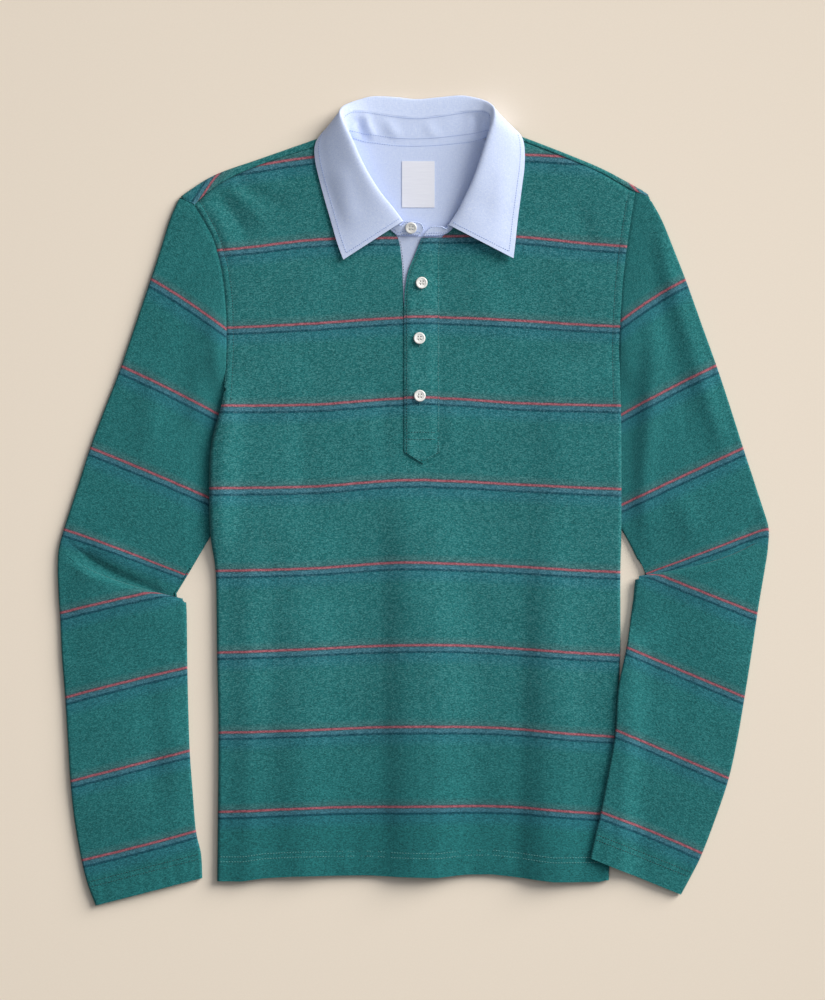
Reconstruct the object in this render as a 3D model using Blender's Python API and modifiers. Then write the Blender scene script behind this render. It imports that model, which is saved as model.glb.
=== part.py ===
"""Long-sleeved polo shirt, laid flat on its back with both sides tucked under.

Metres, +Z up from the surface that it lies on, +Y towards the collar, +X to the right of
somebody who looks down at it. The origin is on that surface, under the middle of the shirt.
Every cloth piece is a sheet of points on the middle of its cloth, thickened to a wall.
Tables and sizes are in millimetres and become metres where the points are made.
"""
import math
from collections import namedtuple

import bmesh
import bpy
from mathutils import Matrix, Vector

MM = 0.001

# Cloth and seams
KNIT = 1.5          # wall of the body's and the sleeves' heavy knit
WOVEN = 1.0         # one layer of the pale shirting
COLLAR_PLY = 1.5    # two layers of shirting and their interlining
GAP = 0.3           # between two pieces at a seam, and between layers that lie on each other
LAYER = KNIT + GAP  # from the middle of one knit layer to the next

# Heights of the middles of the layers above the surface
FLOOR_LAYER = KNIT / 2
TUCK_HEIGHTS = [FLOOR_LAYER + LAYER * step for step in range(4)]
CHEST = 4.2         # front panel where only the back lies under it
SLEEVE_TOP = 4.2    # upper layer of a sleeve that lies free

# The sides, tucked under below the arms
TUCK = 48.0         # how far the tucked strip reaches in from the side's fold
FOLD_OUT = (TUCK_HEIGHTS[3] - TUCK_HEIGHTS[0]) / 2
FOLD_IN = (TUCK_HEIGHTS[2] - TUCK_HEIGHTS[1]) / 2
INSIDE_TURN = 0.7   # how far the back's plain edge reaches into the front's turn
TUCK_TOP_Y = -42.6  # the strip starts here, below the hidden underarm
UNDERARM_Y = 91.4   # below this the body lies over the sleeve's end
TURN_ANGLES = (26.7, 53.3, 80.0, 113.3, 146.7, 180.0)
HALF_TURN = 3       # how many of them a side without a strip uses
TURN_RUN = 36.0     # length along the side over which the front's edge starts to turn down
BACK_TURN_ANGLES = (45, 90, 135, 180)
BACK_TURN_COLUMNS = len(BACK_TURN_ANGLES) + 2
WRAP_ANGLES = (180, 135, 90, 45, 0)     # of the back over the shoulders, seam first

# Where the cloth is raised over the tucked strips: past their inner edge, over a run
FRONT_LIFT_REACH = TUCK + 12
FRONT_LIFT_RUN = 35.0
FRONT_LIFT_TOP = UNDERARM_Y + 60
FRONT_LIFT_FULL = UNDERARM_Y + 14
BACK_LIFT_REACH = TUCK + 5
BACK_LIFT_RUN = 27.0
BACK_LIFT_TOP = UNDERARM_Y + 36
BACK_LIFT_FULL = UNDERARM_Y + 2

# Placket
BAND_LEFT = -8.5
BAND_RIGHT = 25.9
BAND_POINT = (9.9, 36.1)
BAND_FOOT_Y = 47.9
BAND_HEIGHT = CHEST + KNIT + GAP    # middle of the top band

# Buttons
BUTTON_RADIUS = 5.7
BUTTON_THICKNESS = 2.4
BUTTON_RIM = 1.2
BUTTON_WELL = 0.5
BUTTON_TAPER = 0.35
HOLE_SPACING = 2.6
HOLE_RADIUS = 0.75

Z = Vector((0, 0, 1))

# Outline of the body, from the shoulder's end down: the armhole seam, then the side's fold
LEFT_EDGE = [(-212.4, 288.2), (-193.8, 252.0), (-184.0, 207.0), (-182.0, 150.0), (-185.3, 91.4),
             (-195.1, 47.0), (-195.1, -30.0), (-191.9, -69.0), (-190.7, -150.0), (-189.4, -230.0),
             (-190.6, -372.0)]
RIGHT_EDGE = [(216.0, 300.6), (208.6, 252.0), (203.5, 207.0), (201.0, 150.0), (202.0, 91.4),
              (202.4, 47.0), (202.4, -30.0), (201.4, -69.0), (200.4, -150.0), (194.4, -230.0),
              (190.0, -372.0)]

# Shoulders: the fold's outline and the forward seam, from the arm to the neck
LEFT_SHOULDER = [(-227.4, 295.4), (-194.0, 316.6), (-148.9, 332.9), (-91.6, 352.9), (-67.5, 361.0)]
LEFT_SEAM = [(-212.4, 288.2), (-189.0, 307.8), (-148.9, 326.6), (-94.5, 344.6), (-66.8, 352.4)]
RIGHT_SHOULDER = [(229.8, 297.6), (206.6, 311.1), (173.8, 327.6), (106.7, 353.9), (78.5, 362.0)]
RIGHT_SEAM = [(216.0, 300.6), (198.1, 310.6), (173.0, 323.6), (106.0, 350.4), (77.4, 358.4)]
RIGHT_WRAP_END = (225.4, 297.0)
SHOULDER_TIP_GAP = 2.6  # the shoulder's fold ends this far before the sleeve's own fold

# Front panel, a row for each section: the height of its outer ends, and its inner ends at the
# neckline, then at the slot for the placket
FrontRow = namedtuple("FrontRow", "left_y in_left_x in_left_y in_right_x in_right_y right_y")
FRONT = [
    FrontRow(288.2, -66.8, 352.4, 77.4, 358.4, 300.6),
    FrontRow(272.0, -65.6, 336.4, 75.0, 340.0, 285.0),
    FrontRow(252.0, -60.7, 316.4, 69.9, 317.5, 268.0),
    FrontRow(237.0, -49.9, 292.9, 60.2, 293.4, 252.0),
    FrontRow(223.0, -33.2, 271.3, 48.3, 273.3, 231.0),
    FrontRow(207.0, -15.9, 257.5, 27.4, 255.2, 207.0),
    FrontRow(178.0, -11.2, 232.0, 24.2, 228.0, 178.0),
    FrontRow(150.0, -9.7, 196.0, 23.5, 190.0, 150.0),
    FrontRow(128.0, -7.1, 155.0, 23.5, 152.0, 128.0),
    FrontRow(108.0, -7.1, 120.0, 23.5, 118.0, 108.0),
    FrontRow(91.4, -7.1, 91.0, 23.5, 90.0, 91.4),
    FrontRow(70.0, -7.1, 63.2, 23.5, 63.2, 70.0),
    FrontRow(47.0, -9.7, 42.0, 23.5, 42.0, 47.0),
    FrontRow(9.0, -9.7, 6.0, 23.5, 6.0, 9.0),
    FrontRow(-30.0, -9.7, -30.0, 23.5, -30.0, -30.0),
    FrontRow(TUCK_TOP_Y, -9.7, -42.0, 23.5, -42.0, TUCK_TOP_Y),
    FrontRow(-69.0, -9.7, -68.0, 23.5, -68.0, -69.0),
    FrontRow(-110.0, -9.7, -109.0, 23.5, -109.0, -110.0),
    FrontRow(-150.0, -9.7, -149.0, 23.5, -149.0, -150.0),
    FrontRow(-190.0, -9.7, -189.0, 23.5, -189.0, -190.0),
    FrontRow(-230.0, -9.7, -228.0, 23.5, -228.0, -230.0),
    FrontRow(-268.0, -9.7, -266.0, 23.5, -266.0, -268.0),
    FrontRow(-303.0, -9.7, -301.0, 23.5, -301.0, -303.0),
    FrontRow(-339.0, -9.7, -337.0, 23.5, -337.0, -339.0),
    FrontRow(-369.0, -9.7, -365.3, 23.5, -365.6, -369.0),
]
SLOT_ROWS = 11      # rows that end at the neckline or the slot
SEAM_CURVE_ROWS = 6     # rows over which the shoulder seam's curve dies out
COLUMNS = 8         # columns of cloth between an outer and an inner end
SLOT_COLUMNS = 2

# The hem's wave as seen from above, left to right, over the last rows
HEM = [(-190.6, -369.3), (-166.4, -369.3), (-146.0, -366.4), (-112.0, -364.5), (-43.9, -363.9),
       (-16.7, -365.2), (24.1, -365.9), (49.4, -363.2), (76.6, -362.9), (106.2, -366.2),
       (135.9, -369.9), (180.6, -369.9), (190.0, -367.6)]
HEM_WAVE_TOP = -300.0
HEM_MIDDLE_Y = -365.5   # heights that the last row of the front has before the wave
HEM_END_Y = -369.0
HEM_HALF_WIDTH = 190.0
STRIP_SHORT = 1.5       # how much shorter than the front its tucked strips are at the hem

# Soft folds that stand up towards the hem
Ripple = namedtuple("Ripple", "x half_width height top_y")
RIPPLES = [
    Ripple(-160.0, 13.0, 2.0, 40.0),
    Ripple(-104.0, 22.0, 3.2, 30.0),
    Ripple(-8.0, 22.0, 4.2, 60.0),
    Ripple(21.0, 29.0, 4.8, 60.0),
    Ripple(130.0, 22.0, 4.2, 30.0),
    Ripple(150.0, 12.0, 1.4, -20.0),
]
RIPPLE_RUN = 170.0  # below its top a fold takes this long to reach its height

# Back panel: heights of its sections below the shoulders
BACK_ROWS = [281.0, 252.0, 207.0, 178.0, 150.0, 128.0, 108.0, 91.4, 70.0, 47.0, 9.0, -30.0,
             TUCK_TOP_Y, -69.0, -110.0, -150.0, -190.0, -230.0, -303.0, -362.0]
BACK_ARMHOLE_LEFT = [(-227.4, 295.0), (-214.0, 281.0), (-193.8, 252.0)]
BACK_ARMHOLE_RIGHT = [(230.7, 293.6), (219.0, 281.0), (208.6, 252.0)]
BACK_CURVE_TOP = 318.0  # the shoulders' curve dies out from here down to the underarm
BACK_NECK = [(-68.0, 356.5), (-60.6, 350.6), (-45.0, 346.4), (-10.1, 342.4), (19.0, 342.8),
             (51.0, 345.6), (71.0, 349.8), (78.8, 358.0)]
NECK_COLUMNS = 7

# Sleeves, a row for each section from the shoulder to the cuff: its outer end, the inner end
# of its upper layer and of its lower layer, how far its middle sags towards the cuff, the
# height of the upper layer at its inner end, and whether the underarm seam is closed there
SleeveRow = namedtuple("SleeveRow", "out_x out_y in_x in_y low_x low_y sag height closed")
LEFT_SLEEVE = [
    SleeveRow(-227.4, 295.0, -147.0, 49.6, -147.0, 49.6, 0, 2.55, True),
    SleeveRow(-236.4, 274.2, -153.0, 39.0, -153.0, 39.0, 0, 2.55, True),
    SleeveRow(-246.0, 243.5, -160.0, 27.5, -160.0, 27.5, 0, 2.55, True),
    SleeveRow(-255.8, 213.9, -167.0, 16.0, -167.0, 16.0, 0, 2.55, True),
    SleeveRow(-270.5, 170.5, -175.5, 1.5, -175.5, 1.5, 0, 2.55, True),
    SleeveRow(-286.0, 125.4, -185.0, -13.8, -185.0, -13.8, 0, 2.55, True),
    SleeveRow(-300.5, 88.5, -195.1, -30.7, -195.1, -30.7, 0, 2.55, True),
    SleeveRow(-314.3, 51.3, -202.0, -42.5, -202.0, -42.5, 0, 2.9, True),
    SleeveRow(-326.5, 13.5, -209.0, -54.5, -209.0, -54.5, 0, 2.9, True),
    SleeveRow(-335.5, -14.0, -215.5, -65.5, -215.0, -64.5, 3, 2.7, True),
    SleeveRow(-338.8, -24.0, -221.0, -74.5, -219.0, -71.5, 5, 2.55, False),
    SleeveRow(-341.0, -31.0, -233.0, -94.5, -222.5, -77.0, 7, 2.55, False),
    SleeveRow(-342.6, -36.5, -239.5, -105.0, -225.5, -82.0, 8, 2.55, False),
    SleeveRow(-343.6, -40.5, -240.3, -106.3, -228.0, -86.0, 8, 3.45, False),
    SleeveRow(-344.2, -43.5, -239.0, -104.6, -230.3, -90.0, 8, 4.35, False),
    SleeveRow(-344.7, -46.5, -222.6, -96.0, -229.5, -94.0, 8, 4.35, False),
    SleeveRow(-345.1, -49.5, -221.2, -96.1, -223.5, -97.5, 8, 5.25, False),
    SleeveRow(-345.4, -53.0, -220.6, -98.6, -220.9, -100.5, 8, 6.15, True),
    SleeveRow(-345.8, -66.0, -220.2, -106.5, -220.2, -107.5, 5, 6.15, True),
    SleeveRow(-345.0, -90.0, -220.0, -118.0, -220.0, -119.0, 2, 6.1, True),
    SleeveRow(-343.3, -116.0, -219.9, -131.0, -219.9, -131.0, 0, 5.2, True),
    SleeveRow(-341.6, -152.0, -219.8, -145.0, -219.8, -145.0, 0, 4.4, True),
    SleeveRow(-338.4, -192.3, -219.6, -162.9, -219.6, -162.9, 0, 4.2, True),
    SleeveRow(-336.0, -232.0, -218.7, -203.0, -218.7, -203.0, 0, 4.2, True),
    SleeveRow(-333.4, -272.7, -217.3, -243.0, -217.3, -243.0, 0, 4.2, True),
    SleeveRow(-329.4, -311.0, -214.5, -282.0, -214.5, -282.0, 0, 4.2, True),
    SleeveRow(-322.6, -349.2, -211.3, -320.6, -211.3, -320.6, 0, 4.2, True),
    SleeveRow(-316.8, -372.0, -206.3, -343.1, -206.3, -343.1, 0, 4.2, True),
    SleeveRow(-308.9, -393.1, -205.1, -366.4, -205.1, -366.4, 0, 4.2, True),
]
RIGHT_SLEEVE = [
    SleeveRow(230.7, 293.6, 157.3, 49.6, 157.3, 49.6, 0, 2.55, True),
    SleeveRow(241.3, 274.2, 165.5, 36.5, 165.5, 36.5, 0, 2.55, True),
    SleeveRow(252.5, 246.0, 173.5, 22.5, 173.5, 22.5, 0, 2.55, True),
    SleeveRow(265.2, 213.9, 181.5, 9.0, 181.5, 9.0, 0, 2.55, True),
    SleeveRow(280.2, 172.0, 189.5, -5.0, 189.5, -5.0, 0, 2.55, True),
    SleeveRow(295.3, 130.3, 196.5, -17.0, 196.5, -17.0, 0, 2.55, True),
    SleeveRow(308.3, 91.0, 202.4, -27.2, 202.4, -27.2, 0, 2.55, True),
    SleeveRow(320.9, 51.6, 207.5, -36.0, 207.5, -36.0, 0, 2.9, True),
    SleeveRow(330.8, 21.5, 212.5, -45.5, 212.5, -45.5, 0, 2.9, True),
    SleeveRow(338.6, -2.5, 218.0, -57.0, 217.5, -55.5, 3, 2.7, True),
    SleeveRow(341.6, -11.5, 222.5, -67.0, 222.2, -62.0, 5, 2.55, False),
    SleeveRow(343.6, -17.5, 231.0, -87.0, 224.0, -66.0, 7, 2.55, False),
    SleeveRow(344.8, -21.5, 235.6, -98.0, 225.2, -69.5, 9, 2.55, False),
    SleeveRow(345.4, -24.5, 236.2, -99.3, 225.5, -71.8, 10, 3.45, False),
    SleeveRow(345.7, -27.0, 234.9, -97.7, 222.0, -74.2, 10, 4.35, False),
    SleeveRow(345.8, -29.5, 218.0, -74.2, 219.2, -76.3, 10, 4.35, False),
    SleeveRow(345.8, -32.0, 216.4, -73.9, 217.0, -78.5, 10, 5.25, False),
    SleeveRow(345.7, -35.5, 215.9, -76.4, 216.2, -81.0, 10, 6.15, True),
    SleeveRow(344.6, -49.0, 214.9, -84.0, 215.0, -86.0, 7, 6.15, True),
    SleeveRow(340.6, -74.0, 213.8, -96.0, 213.8, -97.0, 3, 6.1, True),
    SleeveRow(335.6, -104.0, 211.6, -111.0, 211.6, -111.0, 0, 5.2, True),
    SleeveRow(329.4, -146.0, 209.6, -126.0, 209.6, -126.0, 0, 4.4, True),
    SleeveRow(322.2, -191.2, 206.8, -143.2, 206.8, -143.2, 0, 4.2, True),
    SleeveRow(315.4, -231.0, 198.8, -183.0, 198.8, -183.0, 0, 4.2, True),
    SleeveRow(307.0, -269.3, 196.2, -223.5, 196.2, -223.5, 0, 4.2, True),
    SleeveRow(294.8, -306.5, 189.4, -263.0, 189.4, -263.0, 0, 4.2, True),
    SleeveRow(280.9, -343.0, 181.8, -302.3, 181.8, -302.3, 0, 4.2, True),
    SleeveRow(271.4, -362.5, 176.4, -325.0, 176.4, -325.0, 0, 4.2, True),
    SleeveRow(260.5, -382.6, 171.7, -346.3, 171.7, -346.3, 0, 4.2, True),
]
HEAD_ROWS = 7       # rows over which the armhole seam's curve dies out
# The end of each sleeve from its outer fold round the armhole to the hidden underarm
LEFT_HEAD = [(-227.4, 295.0)] + LEFT_EDGE[:5] + [(-147.0, 49.6)]
RIGHT_HEAD = [(230.7, 293.6)] + RIGHT_EDGE[:5] + [(157.3, 49.6)]
SLEEVE_COLUMNS = 12
LOW_COLUMNS = 6
FOREARM_ROW = 19    # from this row on the right sleeve may lie over the body's edge
OVER_BODY = TUCK_HEIGHTS[3] + LAYER + GAP   # lower layer of a sleeve that lies on the body
OVER_START = 7.0    # it has climbed this far outside the body's side
OVER_RAMP = 34.0    # plan length of its climb beside the body
OVER_ROWS = 3       # sections over which it reaches its full height
PRESSED = 2.4       # between a sleeve's layers where it lies on the body
ELBOW_ROW = 11      # from this row on the upper layer follows the table's heights
SLEEVE_SETTLE = 0.28    # share of a section over which they are reached
UNDER_START = 4.0   # a sleeve's end is fully under the body this far outside its edge
UNDER_RAMP = 26.0
UNDER_TOP = UNDERARM_Y + 42
UNDER_RUN = 38.0

# Collar, a row for each section from the left front round the neck to the right front: the
# neck seam, the stand's top, the roll and the leaf's edge, each with its height, and how far
# the leaf bulges up between roll and edge
CollarRow = namedtuple("CollarRow", "seam top roll edge bulge")
COLLAR = [
    CollarRow((-15.7, 258.8, 4.9), (-12.8, 268.3, 8.6), (-10.3, 271.3, 10.3), (-67.8, 234.4, 7.6), 1.2),
    CollarRow((-24.0, 265.4, 4.8), (-22.0, 281.0, 10.5), (-20.0, 284.0, 12.4), (-73.5, 250.0, 6.7), 1.6),
    CollarRow((-32.3, 272.4, 4.8), (-34.0, 296.0, 12.5), (-32.2, 299.0, 15.0), (-79.5, 271.0, 6.3), 2.0),
    CollarRow((-49.0, 294.0, 4.8), (-43.5, 311.5, 14.5), (-42.6, 315.0, 17.0), (-86.0, 293.5, 6.3), 2.2),
    CollarRow((-56.0, 308.0, 4.8), (-52.0, 328.5, 16.0), (-51.6, 331.9, 18.5), (-91.4, 314.0, 6.3), 2.2),
    CollarRow((-61.5, 325.0, 4.8), (-58.4, 344.5, 17.0), (-58.5, 348.0, 19.6), (-95.0, 331.0, 6.3), 2.2),
    CollarRow((-64.4, 338.0, 4.6), (-64.8, 359.0, 17.4), (-65.4, 362.5, 20.0), (-95.2, 345.0, 6.3), 2.0),
    CollarRow((-64.6, 348.0, 3.6), (-68.2, 370.6, 16.6), (-70.4, 374.6, 18.4), (-89.6, 355.6, 5.6), 1.2),
    CollarRow((-62.0, 353.4, 2.6), (-65.0, 375.6, 14.0), (-68.4, 381.0, 14.0), (-79.8, 361.4, 2.4), 0.2),
    CollarRow((-56.5, 351.2, 2.1), (-58.4, 379.0, 11.6), (-61.6, 385.4, 9.6), (-68.4, 364.0, 1.0), -0.8),
    CollarRow((-46.5, 348.0, 1.9), (-48.0, 379.3, 9.8), (-50.6, 389.4, 6.4), (-56.0, 362.4, 0.75), -1.2),
    CollarRow((-37.0, 346.8, 1.9), (-37.6, 378.0, 8.8), (-38.8, 392.1, 5.0), (-42.4, 361.0, 0.75), -1.4),
    CollarRow((-17.5, 344.4, 1.9), (-18.0, 375.0, 8.0), (-18.0, 391.4, 4.4), (-19.6, 359.5, 0.75), -1.4),
    CollarRow((3.0, 344.0, 1.9), (3.0, 373.2, 7.7), (3.0, 389.3, 4.2), (3.0, 358.5, 0.75), -1.4),
    CollarRow((24.0, 344.8, 1.9), (24.0, 375.0, 8.0), (24.0, 391.0, 4.4), (26.0, 359.5, 0.75), -1.4),
    CollarRow((44.0, 346.6, 1.9), (44.4, 378.2, 8.8), (45.0, 392.9, 5.0), (48.6, 361.0, 0.75), -1.4),
    CollarRow((54.5, 347.8, 1.9), (55.6, 379.6, 10.0), (57.4, 391.4, 6.4), (63.0, 363.0, 0.75), -1.2),
    CollarRow((65.5, 350.6, 2.1), (66.0, 379.6, 11.8), (68.0, 388.2, 9.6), (76.6, 366.0, 1.0), -0.8),
    CollarRow((72.0, 353.6, 2.6), (71.8, 377.6, 14.2), (74.4, 384.4, 14.0), (88.6, 364.4, 2.4), 0.2),
    CollarRow((74.8, 352.4, 3.6), (75.0, 373.6, 16.6), (78.0, 378.8, 18.4), (98.4, 360.6, 5.6), 1.2),
    CollarRow((74.4, 344.0, 4.6), (74.8, 364.6, 17.6), (77.2, 369.0, 20.2), (105.6, 352.4, 6.3), 2.0),
    CollarRow((72.0, 332.0, 4.8), (72.6, 352.5, 17.4), (73.6, 357.0, 20.2), (108.0, 340.0, 6.3), 2.2),
    CollarRow((68.6, 318.6, 4.8), (68.4, 337.0, 16.6), (68.4, 340.5, 19.4), (107.6, 322.5, 6.3), 2.2),
    CollarRow((63.6, 304.0, 4.8), (63.2, 320.0, 15.2), (62.8, 323.5, 18.0), (105.4, 305.0, 6.3), 2.2),
    CollarRow((57.8, 292.0, 4.8), (57.4, 304.5, 13.8), (56.8, 308.0, 16.4), (103.2, 287.5, 6.3), 2.2),
    CollarRow((50.0, 279.5, 4.8), (50.4, 290.0, 12.2), (50.0, 293.4, 14.4), (101.0, 270.0, 6.4), 2.0),
    CollarRow((42.4, 270.0, 5.0), (43.0, 277.4, 10.6), (43.6, 280.4, 12.6), (99.2, 252.5, 7.0), 1.8),
    CollarRow((32.6, 260.6, 5.8), (33.4, 265.2, 9.6), (35.2, 267.4, 10.9), (97.2, 235.5, 8.6), 1.6),
]
# The stand's front tabs beyond the leaf: seam and top of each section, from the tip inwards
LEFT_TAB = [((6.6, 258.5, 5.0), (10.2, 264.0, 7.2)), ((4.2, 258.5, 5.0), (7.6, 269.4, 8.6)),
            ((-3.0, 258.5, 5.0), (-1.6, 271.6, 9.2)), ((-9.4, 258.6, 5.0), (-8.0, 271.2, 9.0))]
RIGHT_TAB = [((24.4, 258.2, 6.6), (27.2, 266.6, 9.4)), ((16.4, 257.9, 6.8), (18.0, 266.4, 9.2)),
             ((10.4, 257.8, 6.8), (13.4, 262.6, 8.4))]
STAND_STEPS = 3
LEAF_START = 0.7    # the leaf starts this far past the stand's top
LEAF_SAMPLES = (0.0, 0.5, 1.0, 1.45, 2.0, 2.5, 3.0, 3.55, 4.0)
LEAF_NEAR = 0.12    # place of the leaf's first shaping point between roll and edge
LEAF_MIDDLE = 0.5
MIDDLE_BULGE = 0.8  # the leaf's bulge there, of the bulge at the first point

# Facing and label inside the neck
FACING_BOTTOM_Y = 243.0
FACING_MIDDLE_X = 5.0
FACING_ROUND = 34.0     # how much higher its lower edge ends at the sides
FACING_INSET = 0.6
FACING_COLUMNS = 8
FACING_ROWS = 5
FACING_HEIGHT = KNIT + GAP + WOVEN / 2
LABEL_CORNER = (-10.9, 285.4)
LABEL_SIZE = (31.8, 45.1)
LABEL_HEIGHT = FACING_HEIGHT + WOVEN + GAP

# Placket pieces, a row for each section: height along the shirt and both edges
BandRow = namedtuple("BandRow", "left_y left_x right_y right_x")
TOP_BAND = [
    BandRow(255.6, 8.0, 256.0, BAND_RIGHT + 1.6),
    BandRow(240.0, 2.0, 240.0, BAND_RIGHT),
    BandRow(224.1, -4.5, 224.1, BAND_RIGHT),
    BandRow(211.0, -7.1, 211.0, BAND_RIGHT),
    BandRow(195.4, BAND_LEFT, 195.4, BAND_RIGHT),
    BandRow(150.0, BAND_LEFT, 150.0, BAND_RIGHT),
    BandRow(105.0, BAND_LEFT, 105.0, BAND_RIGHT),
    BandRow(63.0, BAND_LEFT, 63.0, BAND_RIGHT),
    BandRow(BAND_FOOT_Y, BAND_LEFT, BAND_FOOT_Y, BAND_RIGHT),
]
UNDER_BAND = [
    BandRow(257.3, -14.9, 256.9, 26.2),
    BandRow(232.0, -10.9, 228.0, 23.9),
    BandRow(196.0, -9.4, 190.0, 23.2),
    BandRow(155.0, -6.8, 152.0, 23.2),
    BandRow(120.0, -6.8, 118.0, 23.2),
    BandRow(91.0, -6.8, 90.0, 23.2),
    BandRow(63.6, -6.8, 63.6, 23.2),
]
BAND_COLUMNS = 4
FOOT_SHOULDER = 4.0     # from the last straight section to the start of the foot's point

# Buttons down the placket, and the one on the left tab with its tilt
BUTTONS = [(8.2, 211.9), (6.1, 158.1), (6.4, 102.2)]
COLLAR_BUTTON = (-2.2, 265.0, 9.6)
TAB_TILT = 17.8

# Colours as sRGB, roughness
TEAL_KNIT = ((0.19, 0.42, 0.39), 0.92)
PALE_WOVEN = ((0.70, 0.78, 0.93), 0.85)
WHITE_TAPE = ((0.93, 0.94, 0.96), 0.6)
BUTTON_WHITE = ((0.90, 0.89, 0.85), 0.35)


def linear(value):
    """sRGB channel to linear."""
    return value / 12.92 if value <= 0.04045 else ((value + 0.055) / 1.055) ** 2.4


def material(name, finish):
    """Principled material with the colour and roughness of a finish."""
    colour, roughness = finish
    made = bpy.data.materials.new(name)
    made.use_nodes = True
    shader = made.node_tree.nodes["Principled BSDF"]
    shader.inputs["Base Color"].default_value = [linear(value) for value in colour] + [1.0]
    shader.inputs["Roughness"].default_value = roughness
    shader.inputs["Metallic"].default_value = 0.0
    return made


def smooth(value):
    """0 below 0, 1 above 1, an S-curve between."""
    value = min(max(value, 0.0), 1.0)
    return value * value * (3 - 2 * value)


def at_height(points, y):
    """x of a line of (x, y) points, running down, at the height y."""
    for upper, lower in zip(points, points[1:]):
        if y >= lower[1] or lower is points[-1]:
            share = (upper[1] - y) / (upper[1] - lower[1])
            return upper[0] + (lower[0] - upper[0]) * share


def across(points, x):
    """y of a line of (x, y) points, running right, at x."""
    for left, right in zip(points, points[1:]):
        if x <= right[0] or right is points[-1]:
            share = max((x - left[0]) / (right[0] - left[0]), 0.0)
            return left[1] + (right[1] - left[1]) * share


def spread(points, count):
    """count + 1 points along a line, with each given point among them where count allows."""
    made = []
    for step in range(count + 1):
        place = step / count * (len(points) - 1)
        index = min(int(place), len(points) - 2)
        start, end = Vector(points[index]), Vector(points[index + 1])
        made.append(start.lerp(end, place - index))
    return made


def spline(points, place):
    """Point of a smooth curve through the points, where place counts them from 0."""
    index = min(int(place), len(points) - 2)
    share = place - index
    before = points[max(index - 1, 0)]
    start, end = points[index], points[index + 1]
    after = points[min(index + 2, len(points) - 1)]
    return (start * 2 + (end - before) * share
            + (before * 2 - start * 5 + end * 4 - after) * share ** 2
            + (start * 3 - before - end * 3 + after) * share ** 3) / 2


def in_from_side(x, y):
    """How far a point of the body lies in from the nearer side."""
    return min(x - at_height(LEFT_EDGE, y), at_height(RIGHT_EDGE, y) - x)


def lift(x, y, reach, run, top, bottom):
    """1 over the tucked strips and the hidden sleeve ends, 0 where the body lies low."""
    inwards = 1 - smooth((in_from_side(x, y) - reach) / run)
    return inwards * smooth((top - y) / (top - bottom))


def front_height(x, y):
    """Middle of the front panel: raised over the tucks, with the hem's soft folds."""
    raised = lift(x, y, FRONT_LIFT_REACH, FRONT_LIFT_RUN, FRONT_LIFT_TOP, FRONT_LIFT_FULL)
    height = CHEST + (TUCK_HEIGHTS[3] - CHEST) * raised
    for ripple in RIPPLES:
        grown = smooth((ripple.top_y - y) / RIPPLE_RUN)
        height += ripple.height * grown * math.exp(-((x - ripple.x) / ripple.half_width) ** 2)
    return height


def back_height(x, y):
    """Middle of the back panel: on the surface, and raised over what is tucked under it."""
    raised = lift(x, y, BACK_LIFT_REACH, BACK_LIFT_RUN, BACK_LIFT_TOP, BACK_LIFT_FULL)
    return FLOOR_LAYER + (TUCK_HEIGHTS[2] - FLOOR_LAYER) * raised


def linked(name, shape, collection):
    """Object in a collection, made from a bmesh that is freed."""
    mesh = bpy.data.meshes.new(name)
    shape.to_mesh(mesh)
    shape.free()
    made = bpy.data.objects.new(name, mesh)
    collection.objects.link(made)
    return made


def sheet(name, rows, wall, finish, kept=None):
    """A cloth wall whose middle runs through rows of points in millimetres.

    kept(column, row) says which cells of the grid are cloth; without it all are.
    """
    columns = len(rows[0]) - 1
    lines = len(rows) - 1
    grid = bmesh.new()
    bmesh.ops.create_grid(grid, x_segments=columns, y_segments=lines, size=0.5)
    if kept:
        cut = []
        for face in grid.faces:
            centre = face.calc_center_median()
            if not kept(int((centre.x + 0.5) * columns), int((centre.y + 0.5) * lines)):
                cut.append(face)
        bmesh.ops.delete(grid, geom=cut, context="FACES")
    for vert in grid.verts:
        column = round((vert.co.x + 0.5) * columns)
        line = round((vert.co.y + 0.5) * lines)
        vert.co = rows[line][column] * MM
    made = linked(name, grid, shirt)
    made.data.shade_smooth()
    made.data.materials.append(finish)
    thick = made.modifiers.new("wall", "SOLIDIFY")
    thick.thickness = wall * MM
    thick.offset = 0
    return made


def turned_edge(start, outwards, radius, share, with_strip):
    """Points past the flat cloth's end: the turn over the side's fold, then the strip."""
    points = []
    for angle in TURN_ANGLES:
        turn = math.radians(angle) * share
        bend = radius / max(share, 0.01)
        away = bend * math.sin(turn) if share > 0 else radius * math.radians(angle)
        drop = bend * (1 - math.cos(turn)) if share > 0 else 0
        points.append(start + outwards * away - Z * drop)
    below = start - Z * radius * 2
    for step in (0.5, 1.0):
        reach = TUCK * step if with_strip else 0
        points.append(below - outwards * reach)
    return points


def turn_share(y):
    """How far the front's edge turns down: not at the armhole seam, fully on the fold."""
    return smooth((UNDERARM_Y + TURN_RUN / 2 - y) / TURN_RUN)


def turn_reach(y):
    """Plan distance from the flat cloth's end to the front's outline."""
    share = turn_share(y)
    if share <= 0:
        return FOLD_OUT * math.radians(TURN_ANGLES[HALF_TURN - 1]) + GAP
    turn = math.radians(TURN_ANGLES[HALF_TURN - 1]) * share
    return FOLD_OUT / share * math.sin(turn) + GAP * (1 - share) + KNIT / 2 * share


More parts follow.
